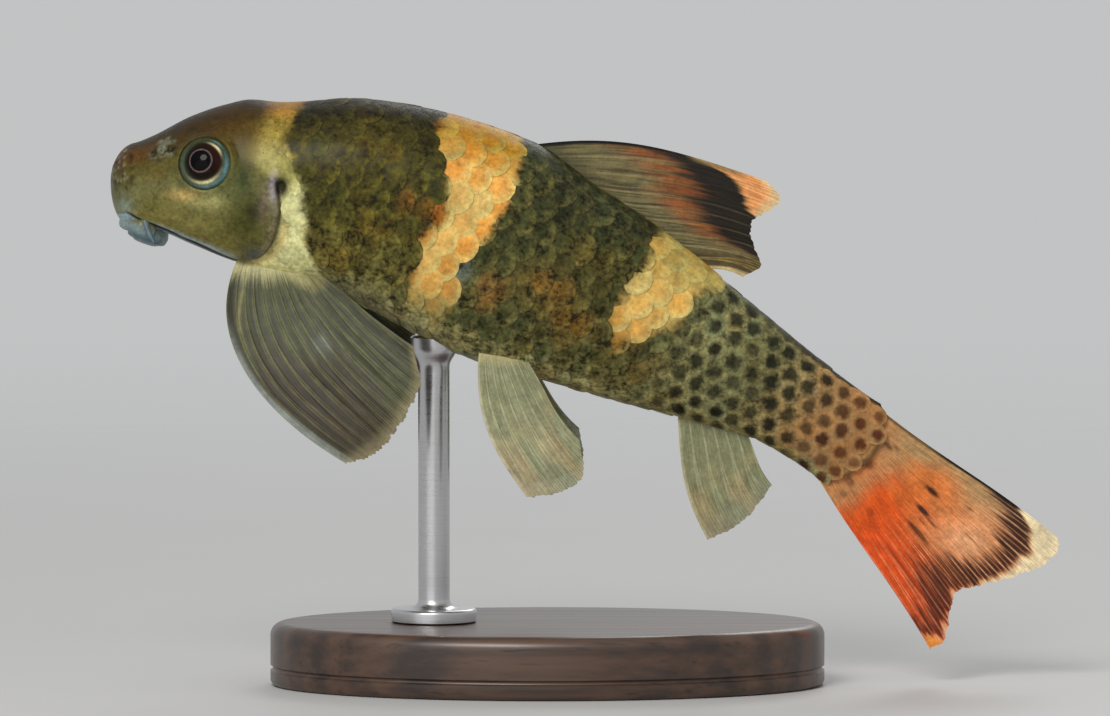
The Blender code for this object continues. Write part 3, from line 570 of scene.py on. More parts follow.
def body_tones(s, h, soft=0.004):
    """Centre colour, rim colour and spot share of the body's scales at a place.

    The ground runs from dark olive on the back to pale yellow on the belly. The spotted tail stalk,
    the patch before it, the gold bar and the pale bar behind the head are laid over it.
    """
    high, lower, second = ease(h, 0.30, 0.95), ease(-h, 0.1, 0.8), ease(s, 0.44, 0.48)
    colours = graded((66, 65, 35), (46, 44, 23), high), graded((89, 86, 48), (68, 66, 35), high)
    colours = lay(colours, tone(100, 97, 62), tone(122, 113, 72), 0.8 * lower, 0.7 * lower)
    colours = lay(colours, tone(65, 70, 53), tone(99, 97, 69), 0.65 * second, 0.5 * second)
    for middle, up, reach, reach_up, spot, strength in BODY_SPOTS:
        share = strength * blot(s, h, middle, up, reach, reach_up)
        colours = lay(colours, tone(*spot), tone(*spot), share, 0.6 * share)
    spotted = ease(s, SPOTS_FROM - 0.070, SPOTS_FROM + 0.010) * (1 - ease(h, 0.88, 1.0))
    ground = graded((126, 124, 87), (166, 126, 85), ease(s, 0.82, 0.97))
    ground = mix(ground, tone(88, 86, 63), 0.6 * blot(s, h, 0.845, 0.20, 0.045, 0.75))
    colours = lay(colours, ground, ground * 1.04, spotted)
    edge_band = ease(h, 0.88, 1.0) * ease(s, 0.70, 0.76)
    colours = lay(colours, tone(42, 40, 27), tone(60, 54, 36), edge_band)
    patch = between(s, h, PATCH_FRONT, PATCH_REAR, soft * 2) * ease(h, -0.56, -0.20)
    patch_centre = graded((208, 158, 82), (178, 150, 84), ease(h, 0.3, 0.8))
    patch_rim = graded((206, 186, 118), (184, 170, 102), ease(h, 0.3, 0.8))
    colours = lay(colours, patch_centre, patch_rim, patch)
    under, over = ease(-h, 0.40, 0.90), ease(h, 0.50, 0.85)
    gold_centre = mix(graded((210, 150, 76), (140, 132, 82), under), tone(172, 118, 46), over)
    gold_rim = mix(graded((212, 190, 118), (150, 148, 98), under), tone(172, 144, 70), over)
    colours = lay(colours, gold_centre, gold_rim, between(s, h, GOLD_BAR_FRONT, GOLD_BAR_REAR, soft))
    pale_end = s - edge_at(PALE_BAR_REAR, h) - 0.003 - 0.003 * np.sin(17 * h + 1)
    pale = 1 - ease(pale_end, -1.8 * soft, 1.8 * soft)
    cream = graded((210, 208, 150), (156, 149, 90), ease(h, -0.16, 0.20))
    cream = paint(cream, ((146, 128, 66), ease(h, 0.30, 0.70)), ((152, 112, 54), ease(h, 0.72, 0.95)))
    colours = lay(colours, cream, cream, pale)
    belly = ease(-h, 0.68, 0.98) * (1 - 0.6 * pale)
    return *lay(colours, tone(148, 142, 98), tone(158, 151, 108), belly), spotted * (1 - patch)


def behind_cover(s, h):
    """Distance behind the gill cover's edge in millimetres, below 0 on the cover."""
    return (s - edge_at(COVER_EDGE, h)) * BODY_LENGTH


MOUTH_LINE = (
    (0.020, -0.62), (0.043, -0.84), (0.066, -0.91), (0.119, -0.945), (0.151, -0.955),
    (0.175, -0.955),
)


def above_mouth_line(s, h):
    """How far a place of the head is above the dark line along the foot of the cheek."""
    return h - smooth_through(MOUTH_LINE, np.clip(s, MOUTH_LINE[0][0], MOUTH_LINE[-1][0]))


def skin_tones(s, h, points):
    """Colour of the bare skin: the head, the pale bar behind it, and the ground under the scales.

    Laid over them are the gill cover's rim, painted shade in the groove behind it and in the notch,
    a painted highlight by the notch, the breast, the dark line along the foot of the cheek, a crease
    darkened by painted shadow, with a painted highlight on the fold above it, and dots on the snout
    and by the nostrils.
    """
    head, (centre, rim, _) = head_tones(s, h), body_tones(s, h)
    edge, covered = behind_cover(s, h), ease(0.10 - h, -0.03, 0.03)
    behind_head = ease(s - edge_at(PALE_BAR_FRONT, h), -0.012, 0.012)
    colour = mix(head, mix(centre, rim, 0.5 + 0 * s), behind_head)
    colour = mix(head, colour, 1 - covered * (1 - ease(edge, -0.05, 0.15)))
    just_behind = window(edge, 0.2, 0.4, 0.6, 1.4) * ease(-h, 0.2, 0.5)
    line = above_mouth_line(s, h)
    chin = ease(-line, 0.0, 0.03) * (1 - ease(s, 0.09, 0.15)) * ease(-h, 0.4, 0.6)
    return paint(
        colour,
        ((132, 122, 110), 0.30 * covered * window(edge, -1.0, -0.4, -0.15, 0.1)),
        # Painted shade in the groove behind the gill cover's edge.
        ((92, 82, 64), 0.65 * covered * window(edge, -0.30, 0.0, 0.10, 0.34)),
        ((186, 156, 88), 0.5 * covered * just_behind),
        # Painted highlight: a pale lilac glint on the gill cover's edge by the notch.
        ((180, 170, 176), 0.85 * blot(s, h, 0.2010, 0.02, 0.0050, 0.15)),
        # Painted shade in the notch at the top of the gill opening.
        ((30, 26, 26), 0.94 * np.clip(1.7 * notch_share(s, h), 0, 1)),
        ((204, 194, 132), 0.8 * blot(s, h, 0.205, -0.98, 0.045, 0.14) * (1 - ease(-edge, 0.0, 0.4))),
        ((140, 160, 166), 0.95 * chin),
        # Painted highlight along the fold at the cheek's lower edge, above the dark line.
        ((168, 188, 190), 0.75 * window(s, 0.03, 0.08, 0.13, 0.165) * bell(line, 0.062, 0.030)),
        # The dark line along the foot of the cheek: a real crease, darkened further by painted
        # contact shadow.
        ((16, 18, 20), 0.95 * cheek_share(s) * np.clip(1.6 * bell(line, 0, 0.030), 0, 1)),
        ((56, 46, 34), 0.70 * dots(points, 12, 30, (0.002, 0.030), (-0.1, 1.0), 0.17)),
        ((168, 158, 134), 0.36 * dots(points, 13, 20, (0.002, 0.022), (0.1, 0.9), 0.14)),
        ((134, 138, 118), 0.40 * dots(points, 14, 26, (0.050, 0.080), (0.50, 0.82), 0.17)),
        ((54, 52, 34), 0.50 * dots(points, 15, 30, (0.048, 0.084), (0.46, 0.84), 0.13)),
    )


def cheek_share(s):
    """Share of the run of places that the cheek takes up."""
    return window(s, 0.012, 0.03, 0.168, 0.182)


def notch_share(s, h):
    """Share of the notch at the top of the gill opening, sunk in the relief and darkened by painted
    shade.
    """
    return blot(s, h, 0.2095, 0.00, 0.0072, 0.105)


def dots(points, seed, count, run, span, reach):
    """Share of small soft dots strewn over a run of places and a span of height shares.

    Each dot is e to the minus squared distance in space, in units of its reach in millimetres.
    """
    draw = np.random.default_rng(seed)
    place, up = draw.uniform(*run, count), draw.uniform(*span, count)
    share = np.zeros(points.shape[:-1])
    for middle in body_surface(place, 180 - np.degrees(np.arcsin(up))):
        share = share + bell(distance(points, middle), 0, reach)
    return np.clip(share, 0, 1)


LEAST_SPECKS = 0.10


def speck_share(s, h):
    """How strongly the fine pigment dots show: most in the pale bar's upper part and on the snout."""
    before_rear = 1 - ease(s - edge_at(PALE_BAR_REAR, h), -0.004, 0.004)
    in_bar = ease(s, 0.172, 0.19) * before_rear * ease(h, 0.0, 0.3)
    return LEAST_SPECKS + 0.55 * in_bar + 0.25 * (1 - ease(s, 0.02, 0.06)) * ease(h, -0.2, 0.3)


# Relief of the skin

# Heights and depths in millimetres: the gill cover's swelling, groove, notch and crease, the eye's
# rim and socket, the nostril's pits and their rims, the mouth's crease and the fold above it, and the
# fleshy foot of the pectoral fin.
COVER_SWELL, COVER_GROOVE, NOTCH_DEPTH, COVER_CREASE = 0.17, 0.34, 0.45, 0.04
EYE_RIM, SOCKET_DEPTH, PIT_DEPTH, PIT_RIM = 0.26, 1.1, 0.30, 0.05
MOUTH_CREASE, MOUTH_FOLD, FIN_FOOT = 0.18, 0.07, 0.14
TUBERCLE_SEED, TUBERCLES, TUBERCLE_HEIGHT, TUBERCLE_REACH = 11, 44, 0.05, 0.15


def skin_relief(s, h, points, eye_point, pit_points):
    """How far the skin stands out from the smooth body, in millimetres.

    A sum of the sunken ground under the scales, the gill cover's raised edge and the groove behind
    it, the eye's socket and rim, the nostril's pits, the crease of the mouth and snout tubercles.
    """
    edge, lower = behind_cover(s, h), ease(h, -1.02, -0.90)
    covered, swollen = ease(0.10 - h, -0.04, 0.06) * lower, ease(0.32 - h, -0.22, 0.22) * lower
    swell = swollen * window(edge, -4.5, -0.3, -0.06, 0.10 + 0.5 * (h > 0.05))
    groove = covered * window(edge, -0.06, 0.10, 0.15, 1.5)
    crease = bell((s - 0.163 - 0.012 * h * h) * BODY_LENGTH, 0, 0.35)
    relief = -SKIN_SINK * ease(s - scale_start(h), 0.0, 0.030)
    relief = relief + COVER_SWELL * swell - COVER_GROOVE * groove
    relief = relief - NOTCH_DEPTH * np.clip(notch_share(s, h) * 1.4, 0, 1)
    relief = relief - COVER_CREASE * crease * ease(-h, -0.1, 0.1) * ease(h, -0.85, -0.6)
    to_eye = distance(points, eye_point)
    relief = relief + EYE_RIM * bell(to_eye, EYE_RADIUS + 0.02, 0.40)
    relief = relief - SOCKET_DEPTH * (1 - ease(to_eye, EYE_RADIUS - 0.28, EYE_RADIUS - 0.02))
    for point in pit_points:
        to_pit = distance(points, point)
        relief = relief - PIT_DEPTH * np.exp(-((to_pit / (NOSTRIL_PIT * 0.8)) ** 4))
        relief = relief + PIT_RIM * bell(to_pit, NOSTRIL_PIT * 1.35, 0.18)
    line, cheek = above_mouth_line(s, h), cheek_share(s)
    relief = relief + MOUTH_FOLD * cheek * bell(line, 0.075, 0.035)
    relief = relief - MOUTH_CREASE * cheek * bell(line, 0, 0.022)
    for root in on_left(PECTORAL_ROOT, 0.0)(np.linspace(0, 1, 7)):
        relief = relief + FIN_FOOT * bell(distance(points, root), 0, 1.2) * ease(edge, -0.3, 0.5)
    draw = np.random.default_rng(TUBERCLE_SEED)
    place, angle = draw.uniform(0.003, 0.030, TUBERCLES), draw.uniform(112, 200, TUBERCLES)
    for bump_at in body_surface(np.tile(place, 2), np.concatenate([angle, 180 - angle])):
        relief = relief + TUBERCLE_HEIGHT * bell(distance(points, bump_at), 0, TUBERCLE_REACH)
    return relief


def scale_start(h):
    """Place along the body where the scales begin, in the rear of the pale bar behind the head."""
    return edge_at(PALE_BAR_REAR, h) - 0.006


# Unwrap of the body: its margin, the shares of the map that length and girth take up, the step from
# one of the rings that close the tail stalk to the next, and where the snout's point lies.
MAP_MARGIN, MAP_LONG, MAP_ROUND, MAP_STEP, MAP_SNOUT = 0.02, 0.90, 0.96, 0.012, 0.015
# Unwrap of a scale: the size of each of its rings' squares, and how far apart these lie.
MAP_SCALE, MAP_APART = 0.003, 0.0034


def unwrap(s, t):
    """Place of a body point on the flat unwrap: along the body, and round it by the angle."""
    s, t = np.broadcast_arrays(s, t)
    return np.stack([MAP_MARGIN + MAP_LONG * s, MAP_MARGIN + MAP_ROUND * t / 360], axis=-1)


# Rows of points over the head, where these end, how they crowd towards the snout, rows over the rest,
# and points in each row.
SKIN_HEAD_ROWS, SKIN_HEAD_END, SKIN_CROWDING = 170, 0.235, 1.15
SKIN_BODY_ROWS, SKIN_COLUMNS = 100, 256


def make_skin(material):
    """One skin over head, gill covers, torso and tail stalk: the body surface moved by its relief.

    Its rows run round the body, and the rear ones bend to the rounded end of the tail stalk.
    """
    head = (np.arange(1, SKIN_HEAD_ROWS + 1) / SKIN_HEAD_ROWS) ** SKIN_CROWDING * SKIN_HEAD_END
    rest = SKIN_HEAD_END + (1 - SKIN_HEAD_END) * np.arange(1, SKIN_BODY_ROWS + 1) / SKIN_BODY_ROWS
    share = np.concatenate([head, rest])[:, None]
    t = np.arange(SKIN_COLUMNS) * 360 / SKIN_COLUMNS
    s = share * (1 + (tail_end(t) - 1) * share**4)
    t = t + 0 * s
    h = height_share(s, t) * np.sqrt(1 - np.clip(1 - s / SNOUT_ROUND, 0, 1) ** 2)
    points = body_surface(s, t)
    folded = points * np.where(points[..., 1:2] < 0, 1, (1, -1, 1))
    eye_point, _, _, _ = body_frame(EYE_S, left_angle(EYE_S, EYE_UP))
    nostril, _, back, _ = body_frame(NOSTRIL_S, left_angle(NOSTRIL_S, NOSTRIL_UP))
    pits = [nostril + back * move for move in (-NOSTRIL_APART, NOSTRIL_APART)]
    relief = skin_relief(s, h, folded, eye_point, pits)
    last, middle, caps = s[-1], s[-1].mean(), len(BODY_CAP)
    cap = [body_surface(middle + (last - middle) * r * r, t[-1], relief[-1], r) for r in BODY_CAP]
    rings = np.concatenate([body_surface(s, t, relief), np.stack(cap)])
    mesh = rings_mesh(rings, body_surface(0.0, 0.0), body_surface(middle, 0.0, inward=0.0))
    colour = skin_tones(s, h, folded)
    colour = np.concatenate([colour, np.repeat(colour[-1:], caps, axis=0)])
    specks = np.concatenate([speck_share(s, h), np.full((caps, SKIN_COLUMNS), LEAST_SPECKS)])
    tint = with_opacity(colour, specks)
    tint = np.vstack([tint, tint[:1], tint[-1:]])
    flat = unwrap_corners(np.concatenate([s, np.repeat(last[None], caps, 0)]), t[0])
    nodes = ("head", "gill_cover_left", "gill_cover_right", "torso", "tail_stalk")
    make_piece("skin", mesh, material, nodes, {"tint": tint}, {"OFBake": flat}, sharp=3.1)


def unwrap_corners(s, t):
    """Unwrap place of each face corner of a ring mesh: its quads row by row, then its two end fans.

    The rings that cap the tail stalk lie at one place, so each is slid a little further along.
    """
    (rows, columns), cap_rows = s.shape, len(BODY_CAP)
    slide = np.clip(np.arange(rows) - (rows - cap_rows) + 1, 0, None)[:, None, None] * MAP_STEP
    place, after = (unwrap(s, t + turn) + slide * (1, 0) for turn in (0, 360 / columns))
    quads = np.stack([place[:-1], after[:-1], after[1:], place[1:]], axis=2).reshape(-1, 2)
    first = np.stack([after[0], place[0], place[0] * (0, 1) + (MAP_SNOUT, 0)], axis=1).reshape(-1, 2)
    last = np.stack([place[-1], after[-1], place[-1] + (MAP_STEP, 0)], axis=1).reshape(-1, 2)
    return np.vstack([quads, first, last])


# Scales

# Columns of scales along the body and rows to each side of the middle row.
SCALE_COLUMNS, SCALE_SIDE_ROWS = 34, 15
# Unevenness of the scales: stray along the body and round it, size and tilt, then stray of the
# markings, brightness and hue.
STRAY, STRAY_ROUND, SIZES, TILTS = 0.0012, 0.06, 0.05, 0.012
TONE_STRAY, BRIGHTS, HUES = 0.0022, 0.12, 0.06

# Places, angles and distances round the girth that the tables below are worked out for.
LIE_S = np.linspace(0.12, 1.08, 193)
LIE_T = np.linspace(60.0, 300.0, 241)
LIE_ARC = np.linspace(-26.0, 26.0, 261)


def girth_tables():
    """Distance round the left side from its middle to each angle, and the angle at each distance.

    The distance adds up the straight steps between points of the body surface.
    """
    ring = body_surface(LIE_S[:, None], LIE_T[None, :])
    step = np.linalg.norm(np.diff(ring, axis=1), axis=-1)
    run = np.concatenate([np.zeros((len(LIE_S), 1)), np.cumsum(step, axis=1)], axis=1)
    middle = len(LIE_T) // 2
    run = run - run[:, middle : middle + 1]
    angle = np.array([np.interp(LIE_ARC, row, LIE_T) for row in run])
    return run, angle


RUN_AT_ANGLE, ANGLE_AT_RUN = girth_tables()


def read_table(table, rows, columns, s, place):
    """Table value between its rows and columns, by straight lines both ways."""
    i = np.clip((s - rows[0]) / (rows[1] - rows[0]), 0, len(rows) - 1.001)
    j = np.clip((place - columns[0]) / (columns[1] - columns[0]), 0, len(columns) - 1.001)
    i0, j0 = i.astype(int), j.astype(int)
    u, v = i - i0, j - j0
    upper = table[i0, j0] * (1 - v) + table[i0, j0 + 1] * v
    lower = table[i0 + 1, j0] * (1 - v) + table[i0 + 1, j0 + 1] * v
    return upper * (1 - u) + lower * u


def scale_mesh(count):
    """Faces of many scales: rings round each middle on top, a rim, and a fan below."""
    sides, rings = SCALE_SIDES, len(SCALE_RINGS)
    ring = np.arange(rings * sides).reshape(rings, sides) + 1
    around = np.roll(ring, -1, axis=1)
    under = ring[-1] + sides
    after_under = np.roll(under, -1)
    top = np.stack([np.zeros(sides, int), around[0], ring[0]], axis=-1)
    bands = np.stack([ring[:-1], around[:-1], around[1:], ring[1:]], axis=-1).reshape(-1, 4)
    rim = np.stack([ring[-1], around[-1], after_under, under], axis=-1)
    bottom = np.stack([under, after_under, np.full(sides, under[-1] + 1)], axis=-1)
    points = rings * sides + sides + 2
    offset = (np.arange(count) * points)[:, None, None]
    quads = np.vstack([bands, rim])[None] + offset
    fans = np.vstack([top, bottom])[None] + offset
    return quads.reshape(-1, 4), fans.reshape(-1, 3)


def scatter_scales(draw):
    """Place, distance round, row, angle and height share of each scale, in staggered uneven rows."""
    rows = np.arange(-SCALE_SIDE_ROWS, SCALE_SIDE_ROWS + 1)
    i, k = (grid.ravel() for grid in np.meshgrid(np.arange(SCALE_COLUMNS), rows, indexing="ij"))
    s = SCALE_FROM + (i + 0.5 * (k % 2)) * SCALE_PITCH / BODY_LENGTH
    s = s + draw.normal(0, STRAY, s.shape)
    apart = smooth_through(SCALE_ROWS, s)
    run = k * apart + draw.normal(0, STRAY_ROUND, s.shape)
    t = read_table(ANGLE_AT_RUN, LIE_S, LIE_ARC, s, run)
    middles = (0 * s + turn for turn in (90.0, 270.0))
    to_back, to_belly = (read_table(RUN_AT_ANGLE, LIE_S, LIE_T, s, angle) for angle in middles)
    h = height_share(s, t)
    inside = (run > to_back + 0.30 * apart) & (run < to_belly - 0.30 * apart)
    keep = inside & (s > scale_start(h)) & (s < tail_end(t) - 0.010 - 0.022 * ease(h, 0.80, 0.95))
    return (values[keep] for values in (s, run, k, t, h))


def scale_tints(draw, s, h, point_s, point_t):
    """Centre, rim and spot colours of the scales' points, each with its share as opacity.

    The markings are read part of the way from a point to its scale's own place, which strays, so a
    scale keeps something of one tone. Each scale is made lighter or darker, warmer or cooler at
    random, and in the light bars some are paler. The foremost scales blend into the skin.
    """
    along_bar = s - scale_start(h)
    own_tone = OWN_TONE * ease(along_bar, 0.010, 0.045)[:, None]
    shown_s = point_s + own_tone * (s[:, None] + 0.2 * SCALE_PITCH / BODY_LENGTH - point_s)
    shown_h = height_share(point_s, point_t) * (1 - own_tone) + own_tone * h[:, None]
    wander = draw.normal(0, TONE_STRAY, s.shape)[:, None] * own_tone / OWN_TONE
    centre, rim, spot = body_tones(shown_s + wander, shown_h, 0.003)
    rim = mix(rim, centre, 0.65 * (1 - ease(along_bar, 0.005, 0.035))[:, None])
    bright = draw.normal(0, BRIGHTS, s.shape)[:, None]
    hue = draw.normal(0, HUES, s.shape)[:, None, None] * np.array([1.0, 0.2, -0.6])
    light = ease(centre.max(axis=-1), 0.20, 0.40)
    paler = draw.uniform(0, 1, s.shape)[:, None] ** 2 * 0.7
    centre = mix(centre, rim * 0.95, light * (1 - spot) * paler)
    bright = 1 + (bright * (1 - 0.6 * spot) * (1 - 0.4 * light))[..., None]
    centre, rim = (np.clip(colour * bright * (1 + hue), 0, 1) for colour in (centre, rim))
    spot_colour = graded((44, 47, 38), (86, 50, 36), ease(point_s, 0.90, 1.0))
    strength = np.clip(draw.normal(0.90, 0.12, s.shape), 0.5, 1)[:, None]
    return {
        "centre_tint": with_opacity(centre, (1 - 0.66 * light) * (1 - 0.25 * spot)),
        "rim_tint": with_opacity(rim),
        "spot_tint": with_opacity(spot_colour, spot * strength),
    }


def make_scales(material, side):
    """Scales of one side: ovals in staggered rows along the body, each laid on the body's surface.

    A scale's points are ring times the sine and cosine of an angle, times its half sizes. They are
    carried to the surface by the distance round the girth, and raised from its front to its rear.
    """
    draw = np.random.default_rng(21 if side == "left" else 22)
    s, run, k, t, h = scatter_scales(draw)
    row = smooth_through(SCALE_ROWS, s)
    size = draw.normal(1.0, SIZES, s.shape) * (1 - 0.20 * ease(s, 0.955, 0.99))
    turn = np.arange(SCALE_SIDES) * 2 * np.pi / SCALE_SIDES
    ring = np.array(SCALE_RINGS)[:, None]
    waves = np.cos(turn), np.sin(turn)
    along, across = (np.concatenate([[0], (ring * wave).ravel(), wave, [0]]) for wave in waves)
    out = np.concatenate([[0], (ring + 0 * turn).ravel(), np.ones(SCALE_SIDES), [0]])
    below = np.concatenate([np.zeros(1 + ring.size * SCALE_SIDES), np.ones(SCALE_SIDES + 1)])
    half_long, half_wide = SCALE_PITCH * SCALE_LONG / 2 * size, row * SCALE_WIDE / 2 * size
    point_s = s[:, None] + along * half_long[:, None] / BODY_LENGTH
    drift = k[:, None] * (smooth_through(SCALE_ROWS, point_s) - row[:, None])
    point_run = run[:, None] + drift + across * half_wide[:, None]
    point_t = read_table(ANGLE_AT_RUN, LIE_S, LIE_ARC, point_s, point_run)
    lift = (draw.normal(0, TILTS, s.shape) * (1 - ease(s, 0.66, 0.74)))[:, None]
    calm = np.maximum(1 - 0.55 * ease(h, 0.80, 0.97) - 0.35 * ease(s, 0.72, 0.80), 0.4)[:, None]
    rise = SCALE_LOW + SCALE_RISE * calm * (along / 2 + 0.5) + lift * (along + 1)
    height = rise + SCALE_CROWN * (1 - out**2) * (1 - below) - SCALE_THICK * below
    points = body_surface(point_s, point_t, height).reshape(-1, 3)
    quads, fans = scale_mesh(len(s))
    if side == "right":
        points = points * (1, -1, 1)
        quads, fans, t = quads[:, ::-1], fans[:, ::-1], (180 - t) % 360
    tints, each = scale_tints(draw, s, h, point_s, point_t), len(along)
    own = np.stack([across / 2 + 0.5, along / 2 + 0.5], axis=-1)
    zone = np.repeat(np.arange(len(SCALE_RINGS) + 1), SCALE_SIDES)
    zone = np.concatenate([[0], zone, zone[-1:]])
    corners = np.concatenate([quads.ravel(), fans.ravel()])
    which, point = corners // each, corners % each
    zones = [np.repeat(zone[face % each].max(axis=1), face.shape[1]) for face in (quads, fans)]
    zones = np.concatenate(zones)
    beside = np.stack([zones % 2, zones // 2], axis=-1) * MAP_APART
    bake = unwrap(s, t)[which] + beside + (own[point] - 0.5) * MAP_SCALE
    mesh, maps = (points, quads.tolist() + fans.tolist()), {"scale": own[point], "OFBake": bake}
    make_piece(f"scales_{side}", mesh, material, (), tints, maps, sharp=0.9)


# Eyes

PUPIL_AHEAD, PUPIL_UP, PUPIL_RADIUS, LENS_RISE, IRIS_SINK = 0.17, 0.15, 0.42, 0.05, 0.03
# Share of the eye's radius and colour of each ring, from the pupil outwards.
EYE_RINGS = (
    (0.00, 2, 3, 8),
    (0.385, 2, 3, 8),
    (0.402, 92, 80, 80),
    (0.425, 122, 108, 106),
    (0.446, 60, 48, 40),
    (0.48, 32, 23, 12),
    (0.60, 36, 26, 14),
    (0.70, 50, 42, 25),
    (0.80, 60, 60, 42),
    (0.88, 68, 80, 66),
    (0.95, 68, 80, 66),
    (1.00, 46, 52, 38),
)
# Arcs of colour on the eye: angle and its reach in degrees, ring and its width, colour, strength.
EYE_ARCS = (
    (44, 22, 0.745, 0.040, (220, 208, 164), 1.0),
    (-90, 42, 0.775, 0.048, (214, 204, 156), 1.0),
    (-150, 30, 0.775, 0.040, (126, 116, 84), 0.6),
    (-24, 38, 0.900, 0.090, (106, 138, 138), 0.95),
    (-82, 36, 0.880, 0.050, (118, 146, 144), 0.8),
    (176, 54, 0.820, 0.150, (84, 96, 80), 0.85),
    (104, 46, 0.850, 0.110, (66, 68, 50), 0.8),
    (52, 16, 0.890, 0.040, (104, 136, 138), 0.6),
    (20, 60, 0.580, 0.100, (62, 40, 24), 0.5),
)


def make_eye(material):
    """Left eye and its mirror: a flattened ball with a raised lens over the pupil and a sunken iris.

    The ball's radius and depth are the sine and cosine of a polar angle. The lens rises by 1 less
    the squared distance from the pupil, which lies a little ahead and above. The colours follow that
    distance.
    """
    point, out, back, up = body_frame(EYE_S, left_angle(EYE_S, EYE_UP))
    centre = point - out * EYE_SINK
    rows, columns = 84, 96
    polar = np.pi * (np.arange(1, rows) / rows) ** 1.35
    turn = np.arange(columns) * 2 * np.pi / columns
    radius = np.sin(polar)[:, None] + 0 * turn
    front = (polar < np.pi / 2)[:, None]
    x, y = radius * np.cos(turn), radius * np.sin(turn)
    shift = (1 - np.clip(radius, 0, 1)) / EYE_RADIUS
    from_pupil = np.hypot(x + PUPIL_AHEAD * shift, y - PUPIL_UP * shift)
    lens = LENS_RISE * np.clip(1 - (from_pupil / PUPIL_RADIUS) ** 2, 0, 1)
    bulge = np.where(front, lens - IRIS_SINK * window(from_pupil, 0.38, 0.46, 0.62, 0.80), 0)
    depth = np.cos(polar)[:, None] * EYE_DEPTH_RADIUS + bulge
    parts = (depth, out), (x * EYE_RADIUS, back), (y * EYE_RADIUS, up)
    rings = centre + sum(amount[..., None] * way for amount, way in parts)
    ends = centre + out * (EYE_DEPTH_RADIUS + LENS_RISE), centre - out * EYE_DEPTH_RADIUS
    mesh = outward(rings_mesh(rings, *ends))
    colour = tone_run(EYE_RINGS, from_pupil)
    angle = np.degrees(np.arctan2(y, x))
    for middle, reach, ring, width, arc, strength in EYE_ARCS:
        away = (angle - middle + 180) % 360 - 180
        share = np.clip(1.3 * blot(away, from_pupil, 0, ring, reach, width), 0, 1)
        colour = paint(colour, (arc, strength * share))
    tint = with_opacity(np.where(front[..., None], colour, tone(40, 40, 34)))
    tints = {"tint": np.vstack([tint, with_opacity(tone(10, 12, 22)[None]), tint[-1:]])}
    for side, shape in (("left", mesh), ("right", mirrored(mesh))):
        make_piece(f"eye_ball_{side}", shape, material, (f"eye_{side}",), tints, sharp=3.1)


# Mouth, barbels and nostril flaps


def tube_mesh(path, radii, sides=14, up=(0, 0, 1), tall=1.0):
    """Tube along a path: its radius times the cosine and sine of an angle, the sine times tall."""
    along = np.gradient(path, axis=0)
    along = along / np.linalg.norm(along, axis=1)[:, None]
    side = np.cross(along, up)
    side = side / np.linalg.norm(side, axis=1)[:, None]
    other = np.cross(along, side)
    turn = np.arange(sides) * 2 * np.pi / sides
    spoke = np.cos(turn)[:, None] * side[:, None] + tall * np.sin(turn)[:, None] * other[:, None]
    rings = path[:, None] + radii[:, None, None] * spoke
    first, last = path[0] - along[0] * radii[0] / 2, path[-1] + along[-1] * radii[-1] / 2
    return outward(rings_mesh(rings, first, last))


def make_barbels(material):
    """Two short feelers on each side of the mouth: tapered tubes, finely ringed by a cosine.

    Each runs straight on, and trails back by the square of the share of its length.
    """
    tubes = []
    for s, t, long, root_radius, tip_radius, towards in BARBELS:
        point, out, _, _ = body_frame(s, 180.0 - t)
        v = np.linspace(0, 1, 28)[:, None]
        reach = np.array(towards) * v + np.array([BARBEL_DROOP, 0, 0]) * v**2
        path = point - out * BARBEL_SINK + reach * long
        radii = root_radius + (tip_radius - root_radius) * v**1.5 + 0.012 * np.cos(v * 70)
        tubes.append(tube_mesh(path, radii[:, 0]))
    left = joined(tubes)
    mesh = joined([left, mirrored(left)])
    depth = mesh[0][:, 2]
    colour = graded((98, 110, 110), (92, 112, 122), ease(-depth, -depth.max(), -depth.min()))
    make_piece("barbels", mesh, material, (), {"tint": with_opacity(colour)})


def make_nostril_flaps(material):
    """Low flap between the two pits of each nostril, blotched with pigment.

    It is an oval whose radius waves with cosines of 3 and 7 times the angle, leaning with its lift.
    """
    point, out, back, up = body_frame(NOSTRIL_S, left_angle(NOSTRIL_S, NOSTRIL_UP))
    tilt = np.radians(24)
    back, up = back * np.cos(tilt) + up * np.sin(tilt), up * np.cos(tilt) - back * np.sin(tilt)
    rows, columns = 24, 48
    polar = np.pi * np.arange(1, rows)[:, None] / rows
    turn = np.arange(columns) * 2 * np.pi / columns
    lobes = 1 + 0.10 * np.cos(3 * turn + 0.6) + 0.05 * np.cos(7 * turn)
    lift = np.cos(polar) * (0.26 + 0.07 * np.cos(turn))
    x, y = np.sin(polar) * np.cos(turn) * 0.50 * lobes, np.sin(polar) * np.sin(turn) * 0.46 * lobes
    lean = 0.35 * lift
    rings = point + lift[..., None] * out + (x + lean)[..., None] * back + y[..., None] * up
    ends = point + out * 0.26 + back * 0.09, point - out * 0.26 - back * 0.09
    mesh = outward(rings_mesh(rings, *ends))
    uneven = np.sin(x * 9.5 + 0.8) * np.sin(y * 11 - 0.6) + 0.4 * np.sin(x * 23 + y * 17)
    blotch = ease(uneven, 0.05, 0.55)
    colour = graded((102, 104, 84), (68, 64, 44), 0.60 * blotch)
    colour = paint(colour, ((88, 80, 52), 0.9 * ease(np.hypot(x, y), 0.34, 0.50))).reshape(-1, 3)
    colour = np.vstack([colour, tone(108, 112, 94), tone(60, 54, 40)])
    mesh, colour = joined([mesh, mirrored(mesh)]), np.vstack([colour, colour])
    make_piece("nostril_flaps", mesh, material, (), {"tint": with_opacity(colour)})


